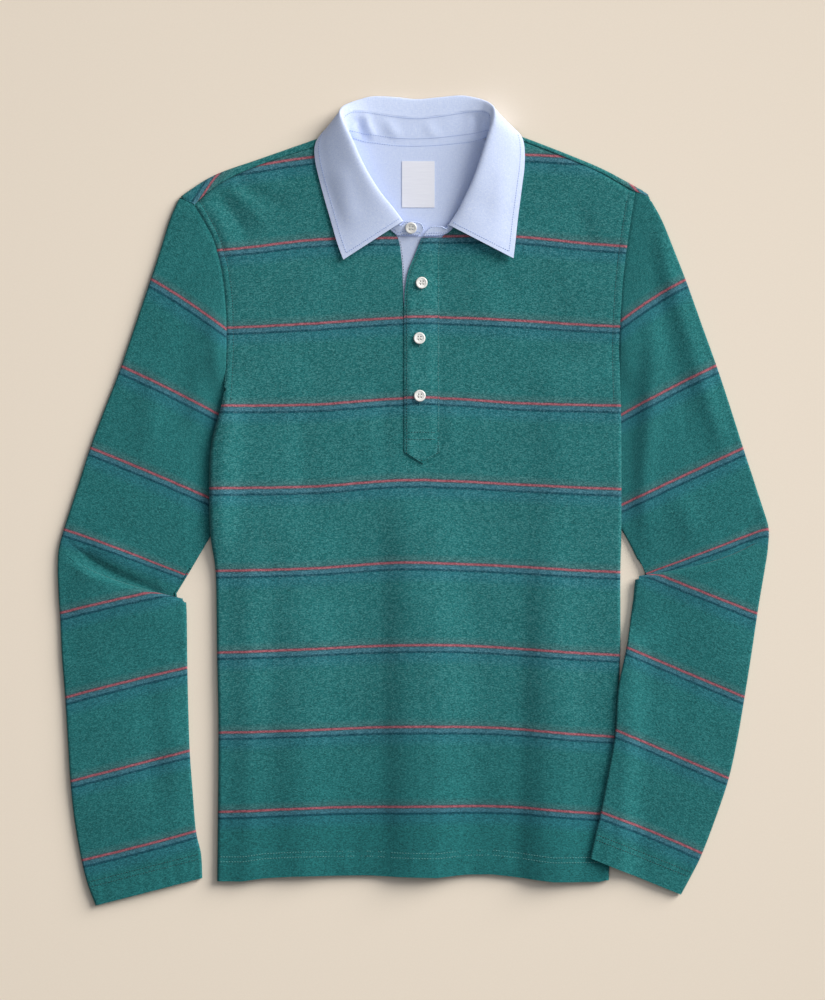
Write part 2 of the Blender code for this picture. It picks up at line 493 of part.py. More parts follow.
def front_row(index, row):
    """One line of the front panel's points, from the left strip to the right one."""
    strip = row.left_y <= TUCK_TOP_Y
    seam_share = max(0.0, 1 - index / SEAM_CURVE_ROWS) ** 1.5
    halves = []
    for hand, edge, y, inner, seam in (
            (-1, LEFT_EDGE, row.left_y, (row.in_left_x, row.in_left_y), LEFT_SEAM),
            (1, RIGHT_EDGE, row.right_y, (row.in_right_x, row.in_right_y), RIGHT_SEAM)):
        flat_end = Vector((at_height(edge, y) - hand * turn_reach(y), y))
        seam_line = spread([seam[0], seam[-1]], COLUMNS)
        seam_curve = spread(seam, COLUMNS)
        points = []
        for step, place in enumerate(spread([flat_end, inner], COLUMNS)):
            place = place + (seam_curve[step] - seam_line[step]) * seam_share
            place.y += hem_wave(place.x, place.y)
            points.append(Vector((place.x, place.y, front_height(place.x, place.y))))
        turned = turned_edge(points[0], Vector((hand, 0, 0)), FOLD_OUT, turn_share(y), strip)
        for place in turned[-2:]:
            place.y += hem_wave(place.x, y) - hem_wave(points[0].x, y)
            place.y += STRIP_SHORT * hem_share(y)
        halves.append((turned, points))
    (left_turn, left), (right_turn, right) = halves
    slot = spread([left[-1], right[-1]], SLOT_COLUMNS)[1:-1]
    for place in slot:
        place.z = front_height(place.x, place.y)
    return left_turn[::-1] + left + slot + right[::-1] + right_turn


def hem_share(y):
    """0 above the hem's wave, 1 at the hem."""
    return smooth((HEM_WAVE_TOP - y) / (HEM_WAVE_TOP - HEM_MIDDLE_Y))


def hem_wave(x, y):
    """How far the hem's wave moves a point of the last rows."""
    outwards = min(abs(x) / HEM_HALF_WIDTH, 1.0)
    straight = HEM_MIDDLE_Y + (HEM_END_Y - HEM_MIDDLE_Y) * outwards
    return (across(HEM, x) - straight) * hem_share(y)


def front_panel(finish):
    """Front: slot for the placket, neckline, armholes, turned-under sides and waved hem."""
    rows = [front_row(index, row) for index, row in enumerate(FRONT)]
    turn = len(TURN_ANGLES) + 2
    strip_row = next(index for index, row in enumerate(FRONT) if row.left_y <= TUCK_TOP_Y)
    last = len(rows[0]) - 2

    def kept(column, row):
        from_side = min(column, last - column)
        if from_side < turn - HALF_TURN and row < strip_row:
            return False
        in_slot = turn + COLUMNS <= column < turn + COLUMNS + SLOT_COLUMNS
        return not (in_slot and row < SLOT_ROWS)

    return sheet("front_panel", rows, KNIT, finish, kept)


def back_edge(hand, y):
    """x of the back panel's outer end: just inside the front's turned edge."""
    edge, armhole = ((LEFT_EDGE, BACK_ARMHOLE_LEFT) if hand < 0
                     else (RIGHT_EDGE, BACK_ARMHOLE_RIGHT))
    if y > armhole[-1][1]:
        return at_height(armhole, y) - hand * GAP * 1.3
    centre = at_height(edge, y) - hand * turn_reach(y)
    share = turn_share(y)
    if y <= TUCK_TOP_Y:
        return centre
    turned = min(share * 3, 1.0)
    return centre + hand * ((turn_reach(y) - GAP) * (1 - turned) + INSIDE_TURN * turned)


def shoulder_lines(hand):
    """The wrap over one shoulder: lines of points from the forward seam over the fold."""
    outline, seam = ((LEFT_SHOULDER, LEFT_SEAM) if hand < 0
                     else (RIGHT_SHOULDER, RIGHT_SEAM))
    outer = spread(outline, COLUMNS)
    front = spread(seam, COLUMNS)
    if hand > 0:
        front[0] = Vector(RIGHT_WRAP_END)
    radius = (CHEST - FLOOR_LAYER) / 2
    along = (Vector(outline[-1]) - Vector(outline[0])).normalized()
    normal = Vector((-along.y, along.x)) * (-hand)
    outer[0] += along * SHOULDER_TIP_GAP
    lines = [[Vector((*(place + normal * GAP), CHEST)) for place in front]]
    for angle in WRAP_ANGLES:
        turn = math.radians(angle)
        away = radius * math.sin(turn) - radius - KNIT / 2
        height = FLOOR_LAYER + radius * (1 - math.cos(turn))
        lines.append([Vector((*(place + normal * away), height)) for place in outer])
    return lines


def shoulder_rows():
    """The back's first rows: both wraps over the shoulders, and its top edge."""
    left_lines, right_lines = shoulder_lines(-1), shoulder_lines(1)
    left_lines[-1][-1] = Vector((*BACK_NECK[0], FLOOR_LAYER))
    right_lines[-1][-1] = Vector((*BACK_NECK[-1], FLOOR_LAYER))
    neck = spread(BACK_NECK, NECK_COLUMNS)[1:-1]
    rows = []
    for left, right in zip(left_lines, right_lines):
        middle = [Vector((*place, left[-1].z)) for place in neck]
        rows.append([left[0]] * BACK_TURN_COLUMNS + left + middle + right[::-1]
                    + [right[0]] * BACK_TURN_COLUMNS)
    return rows


def back_line(top_line, y):
    """A row of the back below the shoulders, which keeps some of its top edge's curve."""
    share = max(0.0, (y - UNDERARM_Y) / (BACK_CURVE_TOP - UNDERARM_Y)) ** 1.5
    start, end = Vector((back_edge(-1, y), y)), Vector((back_edge(1, y), y))
    first, last = top_line[0], top_line[-1]
    line = []
    for step, place in enumerate(top_line):
        point = start.lerp(end, (place.x - first.x) / (last.x - first.x))
        point.y += (place - first.lerp(last, step / (len(top_line) - 1))).y * share
        line.append(Vector((*point, back_height(*point))))
    return line


def back_strip(end, hand):
    """Points of the back past one end of a row: its turn over the fold and its strip."""
    outwards = Vector((hand, 0, 0))
    points = []
    for angle in BACK_TURN_ANGLES:
        turn = math.radians(angle)
        points.append(end + outwards * FOLD_IN * math.sin(turn)
                      - Z * FOLD_IN * (1 - math.cos(turn)))
    below = end - Z * FOLD_IN * 2
    return points + [below - outwards * TUCK / 2, below - outwards * TUCK]


def back_panel(finish):
    """Back: it wraps forward over the shoulders and turns under at the sides."""
    rows = shoulder_rows()
    first = len(rows) - 1
    top_line = [place.xy for place in rows[first][BACK_TURN_COLUMNS:-BACK_TURN_COLUMNS]]
    for y in BACK_ROWS:
        line = back_line(top_line, y)
        rows.append(back_strip(line[0], -1)[::-1] + line + back_strip(line[-1], 1))
    strip_row = first + 1 + BACK_ROWS.index(TUCK_TOP_Y)
    last = len(rows[0]) - 2

    def kept(column, row):
        from_side = min(column, last - column)
        if from_side < BACK_TURN_COLUMNS:
            return row >= strip_row
        return row >= first or from_side < BACK_TURN_COLUMNS + COLUMNS

    return sheet("back_panel", rows, KNIT, finish, kept)


def beside_body(x, y):
    """Distance of a point of the right sleeve outside the body's right side."""
    return x - at_height(RIGHT_EDGE, max(y, -371.0))


def low_height(x, y, row_index, hand):
    """Middle of a sleeve's lower layer: on the surface, or on the body's edge."""
    if hand < 0 or row_index < FOREARM_ROW:
        return FLOOR_LAYER
    climb = 1 - smooth((beside_body(x, y) - OVER_START) / OVER_RAMP)
    reached = smooth((row_index - FOREARM_ROW) / OVER_ROWS)
    return FLOOR_LAYER + (OVER_BODY - FLOOR_LAYER) * climb * reached


def under_body(x, y, hand):
    """1 where a sleeve's end passes under the body, 0 well outside it."""
    edge = LEFT_EDGE if hand < 0 else RIGHT_EDGE
    outside = (x - at_height(edge, y)) * hand
    beside = 1 - smooth((outside - UNDER_START) / UNDER_RAMP)
    return beside * smooth((UNDER_TOP - y) / UNDER_RUN)


def high_height(x, y, share, row, row_index, hand):
    """Middle of a sleeve's upper layer: share runs from its outer to its inner end."""
    low = low_height(x, y, row_index, hand)
    if row_index < ELBOW_ROW:
        return SLEEVE_TOP - (SLEEVE_TOP - TUCK_HEIGHTS[1]) * under_body(x, y, hand)
    pressed = (low - FLOOR_LAYER) / (OVER_BODY - FLOOR_LAYER)
    free = SLEEVE_TOP + (row.height - SLEEVE_TOP) * smooth(share / SLEEVE_SETTLE)
    return free + (low + PRESSED - free) * pressed


def blended_ends(row_index):
    """Share of the armhole curve that a sleeve's section keeps."""
    return max(0.0, 1 - row_index / HEAD_ROWS) ** 1.4


def sleeve_line(row, row_index, head, count, inner, hand):
    """Plan points of one section of one layer, from its outer to its inner end."""
    outer = Vector((row.out_x, row.out_y))
    curve = spread(head, count)
    straight = spread([head[0], head[-1]], count)
    towards_cuff = (Vector(inner) - outer).normalized()
    towards_cuff = Vector((towards_cuff.y, -towards_cuff.x)) * (-hand)
    points = []
    for step, place in enumerate(spread([outer, inner], count)):
        share = step / count
        place = place + (curve[step] - straight[step]) * blended_ends(row_index)
        place += towards_cuff * row.sag * math.sin(math.pi * share ** 0.7)
        points.append(place)
    return points


def sleeve_row(row, row_index, head, hand):
    """One closed section of a sleeve: upper layer, outer fold, lower layer, underarm."""
    back_armhole = BACK_ARMHOLE_LEFT if hand < 0 else BACK_ARMHOLE_RIGHT
    low_head = [head[0], back_armhole[1]] + head[2:]
    upper = sleeve_line(row, row_index, head, SLEEVE_COLUMNS, (row.in_x, row.in_y), hand)
    lower = sleeve_line(row, row_index, low_head, LOW_COLUMNS, (row.low_x, row.low_y), hand)
    if row_index == 0:
        upper = [place + Vector((hand, -0.3)) * GAP for place in upper]
        lower = [place + Vector((hand, -0.3)) * GAP for place in lower]
    outwards = (upper[0] - upper[2]).normalized()
    low_outwards = (lower[0] - lower[1]).normalized()
    inwards = (upper[-1] - upper[-2]).normalized()
    low_inwards = (lower[-1] - lower[-2]).normalized()
    top = [Vector((*place, high_height(place.x, place.y, step / SLEEVE_COLUMNS, row,
                                       row_index, hand)))
           for step, place in enumerate(upper)]
    bottom = [Vector((*place, low_height(place.x, place.y, row_index, hand)))
              for place in lower]
    outer_radius = (top[0].z - bottom[0].z) / 2
    pull = outer_radius + KNIT / 2
    top[0] -= Vector((*outwards, 0)) * pull
    bottom[0] -= Vector((*low_outwards, 0)) * pull
    centre = (top[0] + bottom[0]) / 2
    fold = []
    for angle in (45, 90, 135):
        turn = math.radians(angle)
        fold.append(centre + Vector((*outwards, 0)) * outer_radius * math.sin(turn)
                    + Z * outer_radius * math.cos(turn))
    inner_radius = (top[-1].z - bottom[-1].z - GAP) / 2
    pull = inner_radius + KNIT / 2
    top[-1] -= Vector((*inwards, 0)) * pull
    bottom[-1] -= Vector((*low_inwards, 0)) * pull
    top_turn, bottom_turn = [], []
    for angle in (45, 90):
        turn = math.radians(angle)
        away = inner_radius * math.sin(turn)
        drop = inner_radius * (1 - math.cos(turn))
        top_turn.append(top[-1] + Vector((*inwards, 0)) * away - Z * drop)
        bottom_turn.append(bottom[-1] + Vector((*low_inwards, 0)) * away + Z * drop)
    return top_turn[::-1] + top[::-1] + fold + bottom + bottom_turn


def sleeve(name, table, head, hand, finish):
    """A long sleeve, one tube with an underarm seam, pleated at the elbow."""
    rows = [sleeve_row(row, index, head, hand) for index, row in enumerate(table)]

    def kept(column, row):
        return column >= 2 or (table[row].closed and table[row + 1].closed)

    return sheet(name, rows, KNIT, finish, kept)


def collar_stand(finish):
    """Stand: from the left tab's tip round the neck to the right tab's tip."""
    sections = LEFT_TAB + [(row.seam, row.top) for row in COLLAR] + RIGHT_TAB
    rows = []
    for seam, top in sections:
        rows.append(spread([seam, top], STAND_STEPS))
    return sheet("collar_stand", rows, COLLAR_PLY, finish)


def leaf_section(row):
    """Points of the leaf's section from the stand's top over the roll to its edge."""
    top, roll, edge = Vector(row.top), Vector(row.roll), Vector(row.edge)
    start = top + (roll - top).normalized() * LEAF_START
    near = roll.lerp(edge, LEAF_NEAR) + Z * row.bulge
    middle = roll.lerp(edge, LEAF_MIDDLE) + Z * row.bulge * MIDDLE_BULGE
    shape = [start, roll, near, middle, edge]
    return [spline(shape, place) for place in LEAF_SAMPLES]


def collar_leaf(finish):
    """Leaf: rolls over the stand and falls on the shoulders, under the neck at the back."""
    return sheet("collar_leaf", [leaf_section(row) for row in COLLAR], COLLAR_PLY, finish)


def neck_facing(finish):
    """Half-moon facing on the inside of the back, from the neck seam down."""
    top = spread(BACK_NECK[1:-1], FACING_COLUMNS)
    rows = []
    for line in range(FACING_ROWS + 1):
        share = line / FACING_ROWS
        narrowed = math.cos(share * math.pi * 0.3)
        points = []
        for step, place in enumerate(top):
            side = abs(step / FACING_COLUMNS * 2 - 1)
            x = FACING_MIDDLE_X + (place.x - FACING_MIDDLE_X) * narrowed
            low = FACING_BOTTOM_Y + FACING_ROUND * side ** 2.4
            points.append(Vector((x, place.y - FACING_INSET + (low - place.y) * share,
                                  FACING_HEIGHT)))
        rows.append(points)
    return sheet("neck_facing", rows, WOVEN, finish)


def neck_label(finish):
    """Blank woven label on the facing."""
    x, y = LABEL_CORNER
    width, height = LABEL_SIZE
    rows = [[Vector((x, y + height, LABEL_HEIGHT)), Vector((x + width, y + height, LABEL_HEIGHT))],
            [Vector((x, y, LABEL_HEIGHT)), Vector((x + width, y, LABEL_HEIGHT))]]
    return sheet("neck_label", rows, WOVEN, finish)


def placket_under(finish):
    """Under band, which fills the front's slot and shows in the open neck."""
    rows = []
    for row in UNDER_BAND:
        line = spread([(row.left_x, row.left_y), (row.right_x, row.right_y)], BAND_COLUMNS)
        rows.append([Vector((*place, front_height(place.x, place.y))) for place in line])
    return sheet("placket_under", rows, WOVEN, finish)


def placket_top(finish):
    """Top band on the front panel's points, moved out, with its pointed foot."""
    rows = []
    raised = KNIT + GAP
    for row in TOP_BAND:
        line = spread([(row.left_x, row.left_y), (row.right_x, row.right_y)], BAND_COLUMNS)
        rows.append([Vector((*place, front_height(place.x, place.y) + raised)) for place in line])
    foot = spread([(BAND_LEFT, BAND_FOOT_Y), BAND_POINT, (BAND_RIGHT, BAND_FOOT_Y)], BAND_COLUMNS)
    foot = [Vector((*low, high.z)) for high, low in zip(rows[-1], foot)]
    rows[-1] = [place + Vector((0, FOOT_SHOULDER, 0)) for place in rows[-1]]
    rows.append(foot)
    return sheet("placket_top", rows, KNIT, finish)


def button_drill(name, where):
    """Hidden cutter for the four holes of the button that lies at a place."""
    drill = bmesh.new()
    reach = HOLE_SPACING / math.sqrt(2) * MM
    for turn in range(4):
        angle = math.radians(45 + 90 * turn)
        offset = Matrix.Translation((reach * math.cos(angle), reach * math.sin(angle), 0))
        bmesh.ops.create_cone(drill, cap_ends=True, segments=8, radius1=HOLE_RADIUS * MM,
                              radius2=HOLE_RADIUS * MM, depth=BUTTON_THICKNESS * 3 * MM,
                              matrix=where @ offset)
    cutter = linked(name, drill, cutters)
    cutter.hide_render = True
    cutter.display_type = "WIRE"
    return cutter


def button(name, place, tilt, finish):
    """Four-hole button: a rimmed disc with a shallow well, cut through by four holes."""
    where = Matrix.Translation(Vector(place) * MM) @ Matrix.Rotation(math.radians(tilt), 4, "X")
    disc = bmesh.new()
    bmesh.ops.create_cone(disc, cap_ends=True, segments=20, radius1=BUTTON_RADIUS * MM,
                          radius2=(BUTTON_RADIUS - BUTTON_TAPER) * MM, depth=BUTTON_THICKNESS * MM)
    top = max(disc.faces, key=lambda face: face.calc_center_median().z)
    bmesh.ops.inset_region(disc, faces=[top], thickness=BUTTON_RIM * MM, use_even_offset=True)
    bmesh.ops.translate(disc, verts=top.verts[:], vec=Z * -BUTTON_WELL * MM)
    bmesh.ops.transform(disc, matrix=where, verts=disc.verts[:])
    made = linked(name, disc, shirt)
    made.data.materials.append(finish)
    cut = made.modifiers.new("holes", "BOOLEAN")
    cut.operation = "DIFFERENCE"
    cut.object = button_drill(name + "_holes", where)
    return made


def build_shirt():
    """Every piece of the shirt."""
    knit = material("teal heathered knit", TEAL_KNIT)
    woven = material("pale blue woven cotton", PALE_WOVEN)
    front_panel(material("front knit", TEAL_KNIT))
    back_panel(material("back knit", TEAL_KNIT))
    sleeve("sleeve_left", LEFT_SLEEVE, LEFT_HEAD, -1, material("left sleeve knit", TEAL_KNIT))
    sleeve("sleeve_right", RIGHT_SLEEVE, RIGHT_HEAD, 1, material("right sleeve knit", TEAL_KNIT))
    placket_under(woven)
    placket_top(knit)
    collar_stand(material("stand cotton", PALE_WOVEN))
    collar_leaf(material("leaf cotton", PALE_WOVEN))
    neck_facing(material("facing cotton", PALE_WOVEN))
    neck_label(material("white satin tape", WHITE_TAPE))
    shell = material("off-white button", BUTTON_WHITE)
    seat = BAND_HEIGHT + KNIT / 2 + GAP + BUTTON_THICKNESS / 2
    for number, (x, y) in enumerate(BUTTONS, start=1):
        button(f"button_{number}", (x, y, seat), 0.0, shell)
    button("button_collar", COLLAR_BUTTON, TAB_TILT, shell)


for old in list(bpy.data.objects):
    bpy.data.objects.remove(old, do_unlink=True)
shirt = bpy.data.collections.new("polo_shirt")
cutters = bpy.data.collections.new("cutters")
bpy.context.scene.collection.children.link(shirt)
bpy.context.scene.collection.children.link(cutters)
build_shirt()
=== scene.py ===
"""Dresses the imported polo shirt: cloth shells with their folds, stripes, weave, sewing and buttons.

Metres, +Z up from the surface that the shirt lies on, +Y towards the collar, +X to the right of
somebody who looks down at it. Tables are in millimetres and become metres in the meshes.
"""
import math
from collections import namedtuple

import bmesh
import bpy
from bpy.props import FloatProperty, FloatVectorProperty, PointerProperty
from mathutils import Matrix, Vector, noise


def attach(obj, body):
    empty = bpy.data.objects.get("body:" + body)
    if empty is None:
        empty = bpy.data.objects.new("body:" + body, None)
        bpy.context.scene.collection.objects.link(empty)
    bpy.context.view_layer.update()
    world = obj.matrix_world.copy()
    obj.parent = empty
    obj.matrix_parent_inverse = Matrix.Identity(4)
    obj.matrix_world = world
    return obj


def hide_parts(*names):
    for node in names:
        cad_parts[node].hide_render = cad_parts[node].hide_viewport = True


bl_info = {
    "name": "Polo shirt dresser",
    "version": (1, 0, 0),
    "blender": (4, 5, 0),
    "location": "View3D > Sidebar > Polo shirt",
    "description": "Builds the knit, collar, placket, sewing and buttons of a polo shirt laid flat",
    "category": "Object",
}

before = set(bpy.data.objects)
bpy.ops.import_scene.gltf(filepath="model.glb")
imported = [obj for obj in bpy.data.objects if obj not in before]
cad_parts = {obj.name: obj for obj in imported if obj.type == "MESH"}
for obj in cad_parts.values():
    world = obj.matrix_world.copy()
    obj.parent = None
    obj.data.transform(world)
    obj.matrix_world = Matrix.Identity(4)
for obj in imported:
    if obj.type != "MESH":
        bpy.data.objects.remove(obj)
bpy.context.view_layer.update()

MM = 0.001
Z = Vector((0, 0, 1))
LEFT, RIGHT = -1, 1     # hands, as the photograph shows them
NOISE_GAIN = 1.6        # brings Perlin noise near to -1 to 1
CLOSE = 0.01            # two heights this close are the same


def table(kind, *rows):
    """Rows of values as named tuples."""
    return [kind(*row) for row in rows]


def sleeve_table(*rows):
    """Sections of a sleeve: in a short row both layers end at one place and nothing sags."""
    return [SleeveRow(*row[:5], *(row[5:] or (*row[2:4], 0))) for row in rows]


# Cloth and seams
KNIT = 1.5          # wall of the body's and the sleeves' heavy knit
WOVEN = 1.0         # one layer of the pale shirting
COLLAR_PLY = 1.5    # two layers of shirting and their interlining
GAP = 0.3           # between two pieces at a seam, and between layers that lie on each other
LAYER = KNIT + GAP  # from the middle of one knit layer to the next

# Heights of the middles of the layers above the surface
FLOOR_LAYER = KNIT / 2
TUCK_HEIGHTS = [FLOOR_LAYER + LAYER * step for step in range(4)]
CHEST = 4.2         # front panel where only the back lies under it
SLEEVE_TOP = 4.2    # upper layer of a sleeve that lies free

# The sides, tucked under below the arms
TUCK = 48.0         # how far the tucked strip reaches in from the side's fold
FOLD_OUT = (TUCK_HEIGHTS[3] - TUCK_HEIGHTS[0]) / 2
FOLD_IN = (TUCK_HEIGHTS[2] - TUCK_HEIGHTS[1]) / 2
INSIDE_TURN = 0.7   # how far the back's plain edge reaches into the front's turn
TUCK_TOP_Y = -42.6  # the strip starts here, below the hidden underarm
UNDERARM_Y = 91.4   # below this the body lies over the sleeve's end
TURN_ANGLES = (13.3, 26.7, 40.0, 53.3, 66.7, 80.0, 96.7, 113.3, 130.0, 146.7, 163.3, 180.0)
HALF_TURN = 6       # how many of them a side without a strip uses
TURN_RUN = 36.0     # length along the side over which the front's edge starts to turn down
BACK_TURN_ANGLES = (22.5, 45, 67.5, 90, 112.5, 135, 157.5, 180)
BACK_TURN_COLUMNS = len(BACK_TURN_ANGLES) + 2
WRAP_ANGLES = (180, 157.5, 135, 112.5, 90, 67.5, 45, 22.5, 0)     # over the shoulders, seam first

# Where the cloth is raised over the tucked strips: how far in from the side, over what run it
# comes down there, and between which heights it rises
FRONT_LIFT = (TUCK + 12, 35.0, UNDERARM_Y + 60, UNDERARM_Y + 14)
BACK_LIFT = (TUCK + 5, 27.0, UNDERARM_Y + 36, UNDERARM_Y + 2)

# Placket
BAND_LEFT = -8.5
BAND_RIGHT = 25.9
BAND_POINT = (9.9, 36.1)
BAND_FOOT_Y = 47.9
BAND_HEIGHT = CHEST + KNIT + GAP    # middle of the top band

# Outline of the body, from the shoulder's end down: the armhole seam, then the side's fold
EDGE = {
    LEFT: [(-212.4, 288.2), (-193.8, 252), (-184, 207), (-182, 150), (-185.3, 91.4),
           (-195.1, 47), (-195.1, -30), (-191.9, -69), (-190.7, -150), (-189.4, -230),
           (-190.6, -372)],
    RIGHT: [(216, 300.6), (208.6, 252), (203.5, 207), (201, 150), (202, 91.4),
            (202.4, 47), (202.4, -30), (201.4, -69), (201.2, -150), (197.2, -230),
            (190, -372)]}
# Shoulders: the fold's outline and the forward seam, from the arm to the neck
SHOULDER = {
    LEFT: [(-227.4, 295.4), (-194, 316.6), (-148.9, 332.9), (-91.6, 352.9), (-67.5, 361)],
    RIGHT: [(229.8, 297.6), (206.6, 311.1), (173.8, 327.6), (106.7, 353.9), (78.5, 362)]}
SEAM = {
    LEFT: [(-212.4, 288.2), (-189, 307.8), (-148.9, 326.6), (-94.5, 344.6), (-66.8, 352.4)],
    RIGHT: [(216, 300.6), (198.1, 310.6), (173, 323.6), (106, 350.4), (77.4, 358.4)]}
RIGHT_WRAP_END = (225.4, 297)
SHOULDER_TIP_GAP = 2.6  # the shoulder's fold ends this far before the sleeve's own fold

# Front panel, a row for each section: the height of its outer ends, and its inner ends at the
# neckline, then at the slot for the placket
FrontRow = namedtuple("FrontRow", "left_y in_left_x in_left_y in_right_x in_right_y right_y")
FRONT = table(
    FrontRow,
    (288.2, -66.8, 352.4, 77.4, 358.4, 300.6), (272, -65.6, 336.4, 75, 340, 285),
    (252, -60.7, 316.4, 69.9, 317.5, 268), (237, -49.9, 292.9, 60.2, 293.4, 252),
    (223, -33.2, 271.3, 48.3, 273.3, 231), (207, -15.9, 257.5, 27.4, 255.2, 207),
    (178, -11.2, 232, 24.2, 228, 178), (150, -9.7, 196, 23.5, 190, 150),
    (128, -7.1, 155, 23.5, 152, 128), (108, -7.1, 120, 23.5, 118, 108),
    (91.4, -7.1, 91, 23.5, 90, 91.4), (70, -7.1, 63.2, 23.5, 63.2, 70))
# Below the slot its rows are level but for the last
FRONT += [FrontRow(side, -9.7, middle, 23.5, middle, side) for side, middle in (
    (47, 42), (9, 6), (-30, -30), (TUCK_TOP_Y, -42), (-69, -68), (-110, -109), (-150, -149),
    (-190, -189), (-230, -228), (-268, -266), (-303, -301), (-339, -337))]
FRONT.append(FrontRow(-369, -9.7, -365.3, 23.5, -365.6, -369))
SLOT_ROWS = 11      # rows that end at the neckline or the slot
SEAM_CURVE_ROWS = 6     # rows over which the shoulder seam's curve dies out
COLUMNS = 40        # columns of cloth between an outer and an inner end
SLOT_COLUMNS = 6

# The hem's wave as seen from above, left to right, over the last rows
HEM = [(-190.6, -369.3), (-166.4, -369.3), (-146, -366.4), (-112, -364.5), (-43.9, -363.9),
       (-16.7, -365.2), (24.1, -365.9), (49.4, -363.2), (76.6, -362.9), (106.2, -366.2),
       (135.9, -369.9), (180.6, -369.9), (190, -367.6)]
HEM_WAVE_TOP = -300
HEM_MIDDLE_Y = -365.5   # heights that the last row of the front has before the wave
HEM_END_Y = -369
HEM_HALF_WIDTH = 190
STRIP_SHORT = 1.5       # how much shorter than the front its tucked strips are at the hem

# Soft folds that stand up towards the hem
Ripple = namedtuple("Ripple", "x half_width height top_y")
RIPPLES = table(
    Ripple,
    (-160, 13, 2, 40), (-104, 22, 3.2, 30), (-8, 22, 4.2, 60), (21, 29, 4.8, 60),
    (130, 22, 4.2, 30), (150, 12, 1.4, -20))
RIPPLE_RUN = 170  # below its top a fold takes this long to reach its height

# Back panel: heights of its sections below the shoulders
BACK_ROWS = [281.0, 252, 207, 178, 150, 128, 108, 91.4, 70, 47, 9, -30,
             TUCK_TOP_Y, -69, -110, -150, -190, -230, -303, -362.0]
ARMHOLE = {
    LEFT: [(-227.4, 295), (-214, 281), (-193.8, 252)],
    RIGHT: [(230.7, 293.6), (219, 281), (208.6, 252)]}
ARMHOLE_GAP = GAP * 1.3     # from the back's armhole to its cloth
BACK_CURVE_TOP = 318  # the shoulders' curve dies out from here down to the underarm
CURVE_FADE = 1.5        # how early in its run a seam's curve dies out
BACK_NECK = [(-68, 356.5), (-60.6, 350.6), (-45, 346.4), (-10.1, 342.4), (19, 342.8),
             (51, 345.6), (71, 349.8), (78.8, 358)]
NECK_COLUMNS = 21

